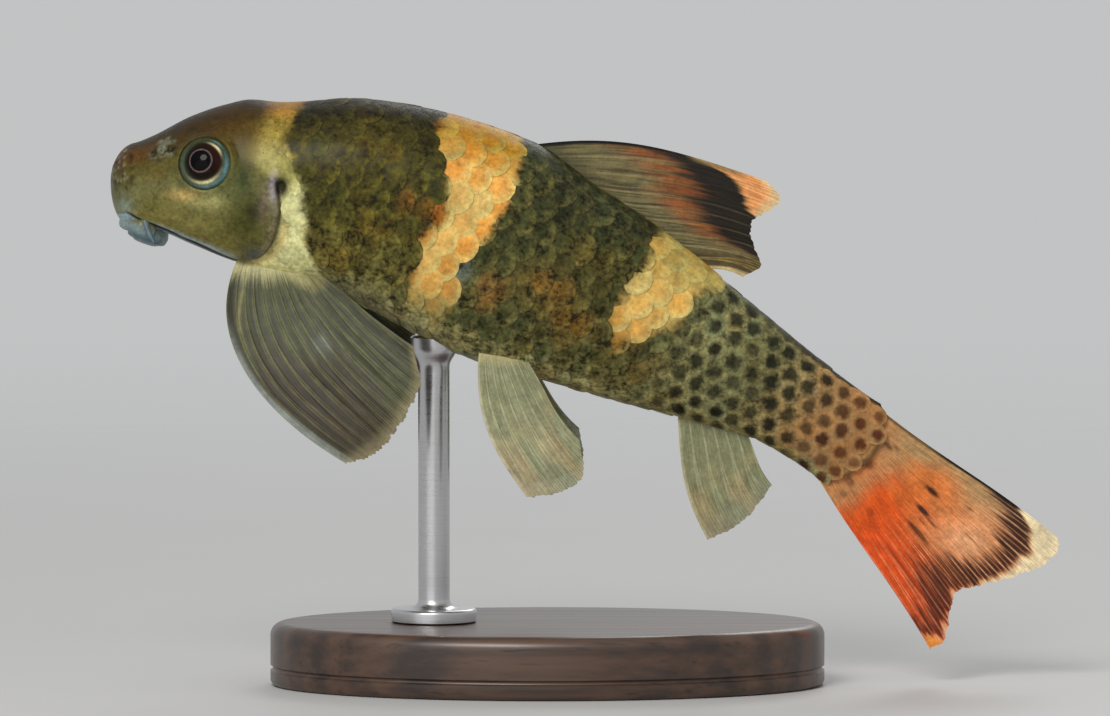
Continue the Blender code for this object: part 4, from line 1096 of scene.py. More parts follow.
def make_mouth(material):
    """Disc of the lower lip, an oval with rows of small bumps, and the upper lip's uneven band.

    The disc's radius and depth are smooth curves through its profile. The band is a tube along an
    arc round the disc, taller than wide, that bends in under the head at its ends.
    """
    slope = np.radians(CHIN_SLOPE)
    along = np.array([np.cos(slope), 0, -np.sin(slope)])
    across = np.array([0, 1.0, 0])
    down = np.array([-np.sin(slope), 0, -np.cos(slope)])
    centre = np.array([MOUTH_X, 0, MOUTH_Z])
    turn = np.arange(96)[None, :] * 2 * np.pi / 96
    share = np.linspace(0, 1, 40)[:, None]
    knots = np.linspace(0, 1, len(DISC_PROFILE))
    profile = np.column_stack([knots, DISC_PROFILE])
    radius, depth = smooth_through(profile, share, 1), smooth_through(profile, share, 2) * DISC_HANG
    fold = 1 + 0.014 * np.cos(turn * 9 + 1) * window(share, 0.2, 0.4, 0.6, 0.8)
    bumps = 0.03 * np.sin(turn * 17 + share * 9) * np.sin(share * 31 + 2 * np.sin(turn * 3))
    bumps = bumps * ease(share, 0.25, 0.4)
    x = radius * fold * np.cos(turn) * DISC_HALF_LENGTH
    y = radius * fold * np.sin(turn) * DISC_HALF_WIDTH
    z = depth + bumps
    rings = centre + x[..., None] * along + y[..., None] * across + z[..., None] * down
    disc = outward(rings_mesh(rings, centre - down * DISC_SINK, centre + down * DISC_HANG))
    swing_off = np.linspace(-LIP_HALF_SWING, LIP_HALF_SWING, 121)[:, None]
    swing = np.radians(180 + swing_off)
    bent_in = np.clip((np.abs(swing_off) - LIP_BEND_FROM) / (LIP_HALF_SWING - LIP_BEND_FROM), 0, 1)
    reach = (LIP_SLOT + LIP_RADIUS) * (1 - bent_in)
    path = centre + np.cos(swing) * along * (DISC_HALF_LENGTH + reach)
    path = path + np.sin(swing) * across * (DISC_HALF_WIDTH + reach)
    wave = swing_off[:, 0]
    frill = LIP_RADIUS * (1 + 0.02 * np.sin(wave * 0.55) + 0.02 * np.sin(wave * 0.23 + 1))
    lip = tube_mesh(path, frill, 24, up=down, tall=LIP_TALL)
    mesh = joined([disc, lip])
    below = (mesh[0] - centre) @ down
    colour = paint(
        graded((106, 107, 80), (122, 138, 138), ease(below, -0.45, 0.20)),
        ((94, 117, 124), ease(below, 0.1, 1.0)),
        ((150, 150, 140), 0.35 * ease(below, 1.02, 1.22)),
        ((156, 168, 160), 0.3 * ease(mesh[0][:, 0], MOUTH_X, MOUTH_X + 2)),
    )
    make_piece("lips", mesh, material, ("mouth",), {"tint": with_opacity(colour)})


# Fins


# Rows of points along a fin, columns from one ray to the next, and how far its skin waves aside.
RAY_ROWS, RAY_COLUMNS, RIPPLE = 72, 18, 0.12


def fan(root, tip, leave, arrive, v):
    """Rays as cubic curves from root to tip, each leaving and arriving at its own angle."""
    reach = RAY_HANDLE * np.linalg.norm(tip - root, axis=1)[:, None]
    first = root + reach * np.stack([np.cos(leave), -np.sin(leave)], axis=1)
    second = tip - reach * np.stack([np.cos(arrive), -np.sin(arrive)], axis=1)
    v, w = v[..., None], 1 - v[..., None]
    return w**3 * root + 3 * v * w**2 * first + 3 * v * v * w * second + v**3 * tip


def ray_share(u, v, count):
    """1 on the middle of a ray and 0 on the skin between, where each ray forks twice towards its tip.

    The distance from the nearest ray is folded once past each fork, so one ridge becomes two and
    then four, evenly spread at the margin.
    """
    place = u * (count - 1)
    away = np.abs(place - np.round(place))
    first = 0.25 * np.clip((v - FIRST_FORK) / (1 - FIRST_FORK), 0, 1)
    second = 0.125 * np.clip((v - SECOND_FORK) / (1 - SECOND_FORK), 0, 1)
    away = np.abs(np.abs(away - first) - second)
    width = 0.16 - 0.10 * v
    return np.clip(1 - (away / width) ** 2, 0, 1)


def make_fin(name, rays, count, root, aside, tones, material, slot, flesh=FIN_ROOT, pair=False):
    """Fin as a thin closed sheet between its rays' curves, with the rays raised on both faces.

    The middle sheet is the fan of rays, set off sideways by a slope and a curve of its length and
    rippled across. Half its thickness, thin skin plus ray, is added along its normal on each face,
    and its margin is cut back a little between the ray tips. tones gives its colours from the place
    across the rays, the place along them and the share of a ray. The unwrap lays one face in the
    left half of the map and the other in the right half.
    """
    draw = np.random.default_rng(sum(name.encode()))
    u = np.linspace(0, 1, (count - 1) * RAY_COLUMNS + 1)
    tip = np.stack([smooth_through(rays, u, 1), smooth_through(rays, u, 2)], axis=1)
    leave, arrive = (np.radians(smooth_through(rays, u, k)) for k in (3, 4))
    start = root(u)
    v = (np.arange(RAY_ROWS + 1) / RAY_ROWS)[:, None] ** 0.95
    forks = u * (count - 1) * 2
    ragged = np.interp(u, np.linspace(0, 1, count * 2), draw.uniform(0, 1, count * 2))
    trim = 1 - 0.005 * np.sin(np.pi * forks) ** 2 - 0.016 * ragged
    v = v * trim
    flat = fan(start[:, [0, 2]], tip, leave, arrive, v)
    step = np.linalg.norm(np.diff(flat, axis=0), axis=2)
    run = np.concatenate([np.zeros((1, len(u))), np.cumsum(step, axis=0)])
    wave = np.sin(u * (count - 1) * 0.9 + 2.0 * v) + 0.6 * np.sin(u * (count - 1) * 2.1 + 1.3)
    y = start[:, 1] + aside[0] * run + aside[1] * run**2 + RIPPLE * wave * v**1.5
    middle = np.stack([flat[..., 0], y, flat[..., 1]], axis=-1)
    face = np.cross(np.gradient(middle, axis=0), np.gradient(middle, axis=1))
    face = face / np.linalg.norm(face, axis=-1, keepdims=True)
    ray = ray_share(u, v, count)
    first_ray = bell(u * (count - 1), 0, 0.22) * (1 - 0.5 * v)
    ridge = RIDGE * ease(v, 0.04, 0.22) * (1 - 0.62 * v)
    thick = MEMBRANE * (1 - 0.4 * v) + ridge * np.maximum(ray, first_ray)
    thick = thick + flesh * (1 - ease(v, 0.02, 0.26)) * np.sin(np.pi * np.clip(u, 0.08, 0.92)) ** 0.5
    half = face * thick[..., None] / 2
    mesh = outward(sheet_mesh(middle + half, middle - half))
    u = u + 0 * v
    tint = np.vstack([tones(u, v, ray).reshape(-1, 4)] * 2)
    place = np.stack([u, v], axis=-1).reshape(-1, 2)
    shapes = {f"{name}_left": mesh, f"{name}_right": mirrored(mesh)} if pair else {name: mesh}
    for node, shape in shapes.items():
        corners = np.array([index for polygon in shape[1] for index in polygon])
        on_fin, second_face = place[corners % len(place)], corners[:, None] >= len(place)
        bake = on_fin * (0.44, 0.92) + (0.03, 0.04) + second_face * (0.5, 0.0)
        maps = {"lay": on_fin, "OFBake": bake}
        make_piece(f"{node}_skin", shape, material, (node,), {"tint": tint}, maps)


def on_midline(ends, t):
    """Root of a fin on the back or belly, sunk below the skin, by the place across the fin."""
    return lambda u: body_surface(ends[0] + (ends[1] - ends[0]) * u, t, -ROOT_SINK) * (1, 0, 1)


def on_left(ends, sink=ROOT_SINK):
    """Root of a paired fin between two places low on the left side, sunk below the skin."""

    def root(u):
        """Point of the root at share u of the way between the two places."""
        s = ends[0][0] + (ends[1][0] - ends[0][0]) * u
        t = ends[0][1] + (ends[1][1] - ends[0][1]) * u
        return body_surface(s, 180 - t, -sink)

    return root


def caudal_rays():
    """Rays of the tail fin: each tip is its reach times the cosine and sine of its angle away."""
    share = np.linspace(0, 1, CAUDAL_FAN)
    angle = np.radians(np.linspace(*CAUDAL_ANGLES, CAUDAL_FAN))
    reach = smooth_through(CAUDAL_REACH, share)
    leave = np.linspace(*CAUDAL_LEAVE, CAUDAL_FAN)
    x, z = CAUDAL_X + reach * np.cos(angle), CAUDAL_Z - reach * np.sin(angle)
    return np.stack([share, x, z, leave, leave], axis=1)


def caudal_root(u):
    """Root of the tail fin, down the rounded end of the tail stalk from its top to its bottom.

    Its angle t is a fixed share of the arc sine of 1 less twice u.
    """
    t = np.degrees(np.arcsin(np.clip(1 - 2 * u, -1, 1))) * CAUDAL_ROOT_SHARE
    s = tail_end(t) - ROOT_SINK / BODY_LENGTH
    return body_surface(s, t, -CAUDAL_ROOT_IN) * (1, 0, 1)


def streaks(u, v, across, along, seed):
    """Smooth random values from 0 to 1, in cells counted across the rays and along them."""
    values = np.random.default_rng(seed).uniform(0, 1, (along + 2, across + 2))
    x, y = np.clip(u, 0, 1) * across, np.clip(v, 0, 1) * along
    i, j = x.astype(int), y.astype(int)
    p, q = (ease(share, 0, 1) for share in (x - i, y - j))
    near = values[j, i] * (1 - p) + values[j, i + 1] * p
    far = values[j + 1, i] * (1 - p) + values[j + 1, i + 1] * p
    return near * (1 - q) + far * q


def read_run(stations, place):
    """Straight-line reading of a short list of places and values."""
    table = np.asarray(stations, float)
    return np.interp(place, table[:, 0], table[:, 1])


def ray_lines(u, count, width):
    """1 along the middle of each ray and 0 from a width beside it, without the forks."""
    place = u * (count - 1)
    return np.clip(1 - (np.abs(place - np.round(place)) / width) ** 2, 0, 1)


BLACK_FROM = (
    (0.0, 0.48), (0.10, 0.55), (0.20, 0.58), (0.40, 0.63), (0.60, 0.69), (0.70, 0.78),
    (0.80, 0.92), (1.0, 1.1),
)
BLACK_TO = (
    (0.0, 0.72), (0.08, 0.80), (0.16, 0.85), (0.22, 0.89), (0.30, 0.94), (0.38, 1.1), (1.0, 1.1),
)


def dorsal_tones(u, v, ray):
    """Brown-grey skin with pale rays, rust streaks, a black band across the rays and a salmon tip."""
    line, main = ease(ray, 0.35, 0.95), ray_lines(u, DORSAL_RAYS, 0.10)
    beside = ray_lines(u + 0.022, DORSAL_RAYS, 0.13)
    fine, long = streaks(u, v, 90, 7, 5), streaks(u, v, 34, 3, 6)
    uneven = 0.10 * (fine - 0.5) + 0.12 * (long - 0.5)
    from_start = v - read_run(BLACK_FROM, u) - uneven
    from_end = v - read_run(BLACK_TO, u) - 0.20 * uneven
    rust = window(from_start, -0.26, -0.06, 0.04, 0.20) * (1 - ease(u, 0.66, 0.80))
    tip = ease(from_end, -0.015, 0.025)
    band = ease(from_start, -0.07, 0.12) * (1 - tip) * (1 - 0.75 * ease(u, 0.74, 0.86))
    rear = graded((58, 48, 26), (132, 112, 64), np.clip(0.15 + 1.1 * line, 0, 1))
    colour = paint(
        graded((118, 110, 77), (146, 130, 94), 0.40 * line),
        ((54, 50, 34), 0.60 * ease(fine, 0.40, 0.9) * (1 - line)),
        ((44, 42, 28), 0.55 * beside * ease(v, 0.1, 0.3)),
        ((60, 62, 46), 0.7 * (1 - ease(v, 0.06, 0.22))),
        ((148, 80, 38), 0.85 * rust * (0.30 + 0.60 * ease(long, 0.2, 0.7)) * (1 - 0.3 * line)),
        ((32, 21, 12), band * (0.96 - 0.34 * main * ease(u, 0.2, 0.4))),
        (graded((224, 146, 84), (236, 190, 134), 0.6 * line), 0.95 * tip),
        ((228, 206, 156), 0.8 * tip * ease(v, 0.93, 0.99)),
        ((134, 116, 80), 0.85 * (1 - ease(u, 0.03, 0.07)) * window(v, 0.66, 0.76, 0.86, 0.92)),
        (rear, 0.75 * ease(u, 0.76, 0.86)),
        ((206, 184, 132), 0.8 * ease(u, 0.955, 0.98)),
        ((20, 18, 15), (1 - ease(u, 0.014, 0.036)) * (1 - ease(v, 0.60, 0.70))),
    )
    return with_opacity(colour, 0.92 + 0.08 * line - 0.10 * tip * (1 - line))


# Spots of the tail fin: place across the rays and along them, with their reaches and strength.
CAUDAL_SPOTS = (
    (0.288, 0.408, 0.022, 0.042, 1.0),
    (0.468, 0.472, 0.022, 0.050, 1.0),
    (0.487, 0.565, 0.010, 0.045, 0.7),
    (0.540, 0.535, 0.011, 0.030, 0.55),
    (0.622, 0.590, 0.020, 0.100, 0.85),
    (0.355, 0.740, 0.007, 0.045, 0.5),
    (0.205, 0.605, 0.010, 0.018, 0.45),
    (0.245, 0.110, 0.028, 0.020, 0.75),
    (0.200, 0.145, 0.018, 0.014, 0.6),
    (0.565, 0.095, 0.040, 0.018, 0.6),
    (0.820, 0.095, 0.036, 0.024, 0.65),
    (0.920, 0.125, 0.026, 0.018, 0.55),
    (0.830, 0.280, 0.026, 0.022, 0.40),
    (0.870, 0.600, 0.011, 0.110, 0.45),
    (0.790, 0.660, 0.008, 0.060, 0.35),
)
DARK_FROM = (
    (0.0, 0.62), (0.06, 0.66), (0.12, 0.73), (0.20, 0.80), (0.30, 0.845), (0.40, 0.870),
    (0.48, 0.865), (0.56, 0.81), (0.64, 0.77), (0.74, 0.75), (0.84, 0.76), (0.92, 0.79),
    (1.0, 0.84),
)
DARK_TO = (
    (0.0, 0.80), (0.08, 0.85), (0.16, 0.925), (0.30, 0.95), (0.42, 0.965), (0.52, 0.985),
    (0.85, 0.975), (1.0, 0.94),
)


def caudal_tones(u, v, ray):
    """Tan upper edge to orange-red below, dark spots and streaks, and a clear edge.

    A peach zone lies in the upper half and a paler base at the root. The dark band by the margin is
    open along the rays above and broken into streaks below.
    """
    line, between_rays = ease(ray, 0.45, 0.95), u + 0.5 / (CAUDAL_RAYS - 1)
    main = 0.6 * ray_lines(between_rays, CAUDAL_RAYS, 0.07)
    main = np.maximum(ray_lines(u, CAUDAL_RAYS, 0.10), main)
    fine, long, wide = streaks(u, v, 150, 6, 7), streaks(u, v, 46, 4, 8), streaks(u, v, 9, 5, 9)
    orange = ease(u + 0.12 * (wide - 0.5), 0.04, 0.26) * ease(v, 0.12, 0.34)
    lower = u + 0.30 * (0.42 - v) + 0.16 * (wide - 0.5) + 0.06 * (long - 0.5)
    deep = ease(u + 0.14 * (wide - 0.5), 0.56, 0.90) * ease(v, 0.18, 0.40)
    deep = deep * (1 - 0.4 * ease(v, 0.6, 0.9))
    base = (1 - ease(v + 0.05 * (long - 0.5), 0.08, 0.20)) * (1 - 0.4 * ease(u, 0.6, 0.9))
    colour = paint(
        graded((180, 144, 100), (218, 126, 68), orange),
        ((216, 96, 46), ease(lower, 0.34, 0.72) * ease(v, 0.10, 0.26)),
        ((216, 84, 40), 0.75 * deep),
        ((234, 174, 128), 0.85 * blot(u, v, 0.38, 0.75, 0.20, 0.16)),
        (graded((196, 140, 92), (206, 118, 68), ease(u, 0.25, 0.7)), 0.80 * base),
        (0.74, 0.5 * ease(fine, 0.5, 0.9) * (1 - line)),
        ((236, 186, 146), 0.24 * line * ease(v, 0.30, 0.6)),
    )
    for middle, far, reach, reach_far, strength in CAUDAL_SPOTS:
        spot = np.clip(1.6 * blot(u, v, middle, far, reach, reach_far), 0, 1)
        colour = paint(colour, ((56, 30, 22), 0.92 * strength * spot))
    low = ease(u, 0.50, 0.62)
    uneven = (1 + low) * (0.08 * (fine - 0.5) + 0.10 * (long - 0.5))
    from_start = v - read_run(DARK_FROM, u) - uneven
    from_end = v - read_run(DARK_TO, u) - 0.25 * uneven
    band = ease(from_start, -0.06, 0.05 + 0.06 * low) * (1 - ease(from_end, -0.02, 0.015))
    fork = ease(v, 0.50, 0.72) * blot(u, v, 0.74, 0.80, 0.16, 0.20) * ease(long, 0.25, 0.6)
    clear = ease(from_end, -0.01, 0.025)
    upper_edge = graded((120, 96, 66), (30, 24, 18), ease(v, 0.22, 0.45))
    colour = paint(
        colour,
        ((96, 50, 34), 0.70 * fork * (1 - line)),
        ((62, 38, 27), band * (0.96 - 0.10 * low - (0.60 - 0.20 * low) * main)),
        ((228, 190, 156), 0.40 * band * main**2 * (1 - 0.45 * ease(u, 0.5, 0.65))),
        ((250, 230, 182), clear * (1 - 0.6 * ease(u, 0.45, 0.6))),
        ((236, 150, 66), clear * ease(u, 0.88, 0.95)),
        (upper_edge, (1 - ease(u, 0.006, 0.022)) * (1 - clear)),
    )
    thin = clear * (1 - 0.5 * line) * (1 - 0.5 * ease(u, 0.45, 0.6))
    return with_opacity(colour, 0.96 + 0.04 * line - 0.40 * thin)


def pectoral_tones(u, v, ray):
    """Olive-grey skin with fine paler rays, a bluish leading edge and a browner lower part.

    Broad bands, pale along the rays and dark between them, follow the fan, and its foot is fleshy
    and pale. A bluish-white sheen in the middle is a painted highlight.
    and pale.
    """
    line = ease(ray, 0.45, 0.95)
    fine, wide = streaks(u, v, 110, 6, 10), streaks(u, v, 12, 5, 12)
    brown = ease(v + 0.3 * (wide - 0.5), 0.30, 0.75) * (1 - ease(u, 0.45, 0.80))
    bent = u + 0.03 * (wide - 0.5)
    on_rays = ray_lines(bent, PECTORAL_RAYS, 0.26)
    between_rays = ray_lines(bent + 0.5 / (PECTORAL_RAYS - 1), PECTORAL_RAYS, 0.34)
    strong = ease(v, 0.10, 0.22) * (1 - 0.5 * ease(v, 0.55, 0.90))
    streak_at, edge = 0.19 - 0.36 * np.clip(v, 0, 0.28), 0.008 + 0.045 * ease(v, 0.45, 0.95)
    fleshy = 1 - ease(v - 0.10 * ease(u, 0.55, 0.85) + 0.04 * (fine - 0.5), 0.055, 0.15)
    colour = paint(
        graded((83, 86, 62), (68, 58, 42), brown),
        ((66, 70, 50), 0.6 * ease(u, 0.70, 0.95)),
        ((60, 58, 42), 0.45 * ease(v, 0.45, 0.8) * ease(wide, 0.3, 0.7)),
        (0.66, ease(fine, 0.45, 0.9) * (1 - line)),
        ((108, 108, 82), 0.34 * line * (0.25 + 0.75 * ease(fine, 0.3, 0.8))),
        ((48, 46, 33), 0.42 * between_rays * strong),
        ((116, 114, 86), 0.34 * on_rays * strong),
        # Painted highlight: a bluish-white sheen in the middle of the fin.
        ((150, 162, 160), 0.55 * blot(u, v, 0.58, 0.475, 0.05, 0.05) * (0.3 + 0.7 * line)),
        ((50, 46, 30), 0.8 * bell(u, 0.040, 0.030) * (1 - ease(v, 0.3, 0.5))),
        ((134, 128, 88), 0.65 * bell(u, streak_at, 0.016) * (1 - ease(v, 0.25, 0.5))),
        ((134, 140, 132), 0.80 * (1 - ease(u, edge, edge + 0.05)) * ease(v, 0.25, 0.45)),
        (graded((192, 186, 134), (122, 116, 74), ease(u, 0.50, 0.95)), 0.92 * fleshy),
        ((158, 146, 108), 0.6 * ease(v, 0.92, 1.0)),
    )
    return with_opacity(colour, 0.97 + 0.03 * line - 0.15 * ease(v, 0.90, 1.0))


def pale_tones(u, v, ray):
    """Whitish skin with cream rays, grey-green between them and clearer towards the margin."""
    line = ease(ray, 0.35, 0.95)
    fine, wide = streaks(u, v, 60, 5, 11), streaks(u, v, 6, 4, 13)
    colour = paint(
        graded((134, 136, 104), (170, 170, 136), 0.5 * line),
        ((104, 106, 78), 0.5 * ease(fine, 0.5, 0.95) * (1 - line)),
        ((176, 172, 142), 1 - ease(u, 0.01, 0.05)),
        ((182, 170, 122), 1 - ease(v, 0.04, 0.16)),
        ((186, 150, 106), 0.28 * ease(v, 0.30, 0.8) * ease(wide, 0.2, 0.8)),
    )
    return with_opacity(colour, 0.93 + 0.05 * line - 0.30 * ease(v, 0.70, 1.0) * (1 - line))


def make_fins(skin):
    """The three fins on the midline, and the paired fins of the left side with their mirrors."""
    back, vent, tail = on_midline(DORSAL_ROOT, 90.0), on_midline(ANAL_ROOT, -90.0), caudal_rays()
    breast, belly = on_left(PECTORAL_ROOT), on_left(PELVIC_ROOT)
    out, low = -np.array(PECTORAL_SPREAD), -np.array(PELVIC_SPREAD)
    dark, pale, red = (skin, "dark_fin"), (skin, "pale_fin"), (skin, "red_fin")
    fins = (
        ("dorsal_fin", DORSAL, DORSAL_RAYS, back, DORSAL_LEAN, dorsal_tones, *dark),
        ("anal_fin", ANAL, ANAL_RAYS, vent, ANAL_LEAN, pale_tones, *pale),
        ("caudal_fin", tail, CAUDAL_RAYS, caudal_root, CAUDAL_LEAN, caudal_tones, *red),
    )
    pairs = (
        ("pectoral_fin", PECTORAL, PECTORAL_RAYS, breast, out, pectoral_tones, *dark, PECTORAL_FLESH),
        ("pelvic_fin", PELVIC, PELVIC_RAYS, belly, low, pale_tones, *pale, PELVIC_FLESH),
    )
    for fin in fins:
        make_fin(*fin)
    for fin in pairs:
        make_fin(*fin, pair=True)


# Stand


def turned(levels, x, columns, half_length=0.0, half_width=0.0):
    """Turned or oval shape: at each level, an outward unit circle times the level's radius.

    Each level has a radius and a height. Half lengths above 0 stretch the circle to an oval, from
    which the radius is then how far the level stands in.
    """
    turn = np.arange(columns) * 2 * np.pi / columns
    circle = np.stack([np.cos(turn), np.sin(turn), 0 * turn], axis=1)
    oval = circle * (half_length, half_width, 0)
    rings = np.stack([oval + circle * radius + (x, 0, z) for radius, z in levels])
    return rings_mesh(rings, (x, 0, levels[0][1]), (x, 0, levels[-1][1]))


def make_base(material):
    """Oval base: a short foot, straight sides with a fine groove, and a rounded upper edge."""
    side = [(-0.9, 0.0), (-0.45, 0.0), (-0.15, 0.12), (0.0, 0.40), (0.0, 1.0), (0.0, 1.20)]
    groove = [(-0.16, 1.30), (-0.20, 1.42), (-0.16, 1.54), (0.0, 1.64), (0.0, 2.4)]
    groove += [(0.0, BASE_HEIGHT - 1.0)]
    turn = np.radians(np.linspace(10, 90, 9))
    edge = [(np.cos(a) - 1, BASE_HEIGHT - 1 + np.sin(a)) for a in turn]
    top = [(-inset, BASE_HEIGHT) for inset in (1.3, 2.0, 4.0, 7.0, 10.5, 13.0)]
    mesh = turned(side + groove + edge + top, 0.0, 192, BASE_HALF_LENGTH, BASE_HALF_WIDTH)
    make_piece("stand_base_wood", mesh, material, ("stand_base",), bend=False, sharp=0.7)


def make_rod(material):
    """Steel rod: a flange with a rounded rim and a cove, the plain rod, and a cup at the belly."""
    foot = BASE_HEIGHT + 0.02
    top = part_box("stand_rod")[1][2] / MM
    turn = np.radians(np.linspace(0, 90, 7))
    rim = [(FLANGE_RADIUS - 0.3 + 0.3 * np.cos(a), foot + 0.8 + 0.3 * np.sin(a)) for a in turn]
    cove = [(ROD_RADIUS + 0.75 - 0.75 * np.sin(a), foot + 1.85 - 0.75 * np.cos(a)) for a in turn]
    cup = [(ROD_RADIUS + 0.62 * np.sin(a) ** 2, top - 2.2 + 1.5 * a / np.radians(90)) for a in turn]
    levels = [(FLANGE_RADIUS - 0.15, foot), (FLANGE_RADIUS, foot + 0.12)] + rim + cove
    levels += [(ROD_RADIUS, foot + 3.0), (ROD_RADIUS, top - 6.0), (ROD_RADIUS, top - 2.6)] + cup
    levels += [(ROD_RADIUS + 0.62, top + 0.1), (ROD_RADIUS + 0.4, top + 0.25)]
    mesh = turned(levels, ROD_X, 72)
    make_piece("stand_rod_steel", mesh, material, ("stand_rod",), bend=False, sharp=0.7)


# Materials


def add(tree, kind, inputs=None, **options):
    """Adds a node, sets its options, and fills each named input with a value or a link."""
    node = tree.nodes.new(kind)
    for name, value in options.items():
        setattr(node, name, value)
    for name, value in (inputs or {}).items():
        if isinstance(value, bpy.types.NodeSocket):
            tree.links.new(value, node.inputs[name])
        else:
            node.inputs[name].default_value = value
    return node


def new_group(name, inputs, outputs):
    """Shader group with sockets of the kinds given by title, its inputs, and where its results go."""
    group = bpy.data.node_groups.new(name, "ShaderNodeTree")
    for way, sockets in (("INPUT", inputs), ("OUTPUT", outputs)):
        for title, kind in sockets.items():
            group.interface.new_socket(name=title, in_out=way, socket_type="NodeSocket" + kind)
    return group, group.nodes.new("NodeGroupInput").outputs, group.nodes.new("NodeGroupOutput").inputs


def math(tree, operation, first, second=0.0):
    """Result of one sum of one or two numbers."""
    return add(tree, "ShaderNodeMath", {0: first, 1: second}, operation=operation).outputs[0]


def plus(tree, first, second):
    """First plus second."""
    return math(tree, "ADD", first, second)


def times(tree, first, second):
    """First times second."""
    return math(tree, "MULTIPLY", first, second)


def off_centre(tree, value, factor):
    """A value of 0 to 1 less a half, times a factor."""
    return times(tree, math(tree, "SUBTRACT", value, 0.5), factor)


def hypot(tree, x, y):
    """Square root of x squared plus y squared."""
    return math(tree, "SQRT", plus(tree, times(tree, x, x), times(tree, y, y)))


def blend_colours(tree, share, first, second):
    """Colour first moved towards second by a share."""
    return add(tree, "ShaderNodeMix", {0: share, 6: first, 7: second}, data_type="RGBA").outputs[2]


def noise(tree, vector, scale, detail=3.0, rough=0.55):
    """Smooth noise of 0 to 1, with its cells per metre."""
    inputs = {"Vector": vector, "Scale": scale, "Detail": detail, "Roughness": rough}
    return add(tree, "ShaderNodeTexNoise", inputs).outputs[0]


def stretched(tree, vector, *scale):
    """A place scaled by a factor on each axis, to draw out the noise that is read at it."""
    return add(tree, "ShaderNodeMapping", {"Vector": vector, "Scale": scale}).outputs[0]


def spread(tree, value, low, high, to_low=0.0, to_high=1.0):
    """Value moved from one span to another, smoothly, and held at its ends."""
    inputs = {"Value": value, 1: low, 2: high, 3: to_low, 4: to_high}
    return add(tree, "ShaderNodeMapRange", inputs, interpolation_type="SMOOTHSTEP").outputs[0]


def make_mottle_group():
    """Living skin: a colour darkened and lightened by coarse and fine noise, the fine one as height.

    The colour is scaled by 1 plus 4 times the noise's distance from its middle times the amount.
    """
    kinds = {"Colour": "Color", "Vector": "Vector"}
    kinds.update(dict.fromkeys(("Coarse", "Fine", "Amount"), "Float"))
    group, source, result = new_group("living_skin", kinds, {"Colour": "Color", "Height": "Float"})
    coarse = noise(group, source["Vector"], source["Coarse"], 4.0)
    fine = noise(group, source["Vector"], source["Fine"], 2.0)
    both = plus(group, times(group, coarse, 0.6), times(group, fine, 0.4))
    away = off_centre(group, both, source["Amount"])
    factor = math(group, "MAXIMUM", plus(group, times(group, away, 4.0), 1.0), 0.15)
    inputs = {0: source["Colour"], "Scale": factor}
    scaled = add(group, "ShaderNodeVectorMath", inputs, operation="SCALE").outputs[0]
    group.links.new(scaled, result["Colour"])
    group.links.new(fine, result["Height"])
    return group


def make_specks_group():
    """Small dark pigment dots: cells whose nearest point is close, thinned by coarse noise."""
    kinds = {"Colour": "Color", "Vector": "Vector", "Scale": "Float", "Amount": "Float"}
    group, source, result = new_group("pigment_dots", kinds, {"Colour": "Color"})
    inputs = {title: source[title] for title in ("Vector", "Scale")}
    from_point = add(group, "ShaderNodeTexVoronoi", inputs).outputs["Distance"]
    patchy = spread(group, noise(group, source["Vector"], 420.0), 0.42, 0.62)
    dot = times(group, spread(group, from_point, 0.16, 0.34, 1.0, 0.0), patchy)
    share = times(group, dot, source["Amount"])
    colour = blend_colours(group, share, source["Colour"], (0.020, 0.016, 0.010, 1))
    group.links.new(colour, result["Colour"])
    return group


def new_material(name, **values):
    """Material whose one shader has these constants, returned with its node tree and that shader."""
    material = bpy.data.materials.new(name)
    material.use_nodes = True
    shader = material.node_tree.nodes["Principled BSDF"]
    for title, value in values.items():
        shader.inputs[title.replace("_", " ")].default_value = value
    return material, material.node_tree, shader


def finish(tree, shader, colour, gloss=None, relief=None, alpha=None):
    """Links a shader's colour and, where they are given, its roughness, fine relief and opacity.

    gloss is a value with the roughness at its low and high ends, and relief is a height with its
    strength and its depth in metres.
    """
    links = {"Base Color": colour, "Alpha": alpha}
    if gloss:
        links["Roughness"] = spread(tree, gloss[0], 0.3, 0.7, *gloss[1:])
    if relief:
        inputs = dict(zip(("Height", "Strength", "Distance"), relief))
        links["Normal"] = add(tree, "ShaderNodeBump", inputs).outputs[0]
    for title, socket in links.items():
        if socket is not None:
            tree.links.new(socket, shader.inputs[title])


def object_place(tree):
    """Place in the object's own space, in metres."""
    return add(tree, "ShaderNodeTexCoord").outputs["Object"]


def mottled(tree, group, colour, coarse, fine, amount):
    """Colour and height of the living skin, read at the object's own place."""
    inputs = {"Colour": colour, "Coarse": coarse, "Fine": fine, "Amount": amount}
    inputs["Vector"] = object_place(tree)
    return add(tree, "ShaderNodeGroup", inputs, node_tree=group).outputs


def painted(tree, name="tint"):
    """Colour and opacity stored at the piece's points."""
    node = add(tree, "ShaderNodeAttribute", attribute_name=name)
    return node.outputs["Color"], node.outputs["Alpha"]


# Wet skin and scales: a thin coat, and a weak shine that is warmer than white.
WET = {"Coat_Weight": 0.07, "Coat_Roughness": 0.25, "Specular_IOR_Level": 0.16}
WET["Specular_Tint"] = (1.0, 0.90, 0.55, 1)


def skin_material(mottle, specks):
    """Wet head skin: the painted tone, mottled, with pigment dots and fine grain."""
    material, tree, shader = new_material("wet_olive_skin", **WET)
    painted_colour, specks_shown = painted(tree)
    colour, height = mottled(tree, mottle, painted_colour, 900.0, 3600.0, 0.62)
    inputs = {"Colour": colour, "Vector": object_place(tree), "Scale": 4200.0, "Amount": specks_shown}
    dotted = add(tree, "ShaderNodeGroup", inputs, node_tree=specks).outputs[0]
    finish(tree, shader, dotted, (height, 0.36, 0.56), (height, 0.35, 0.00008))
    return material


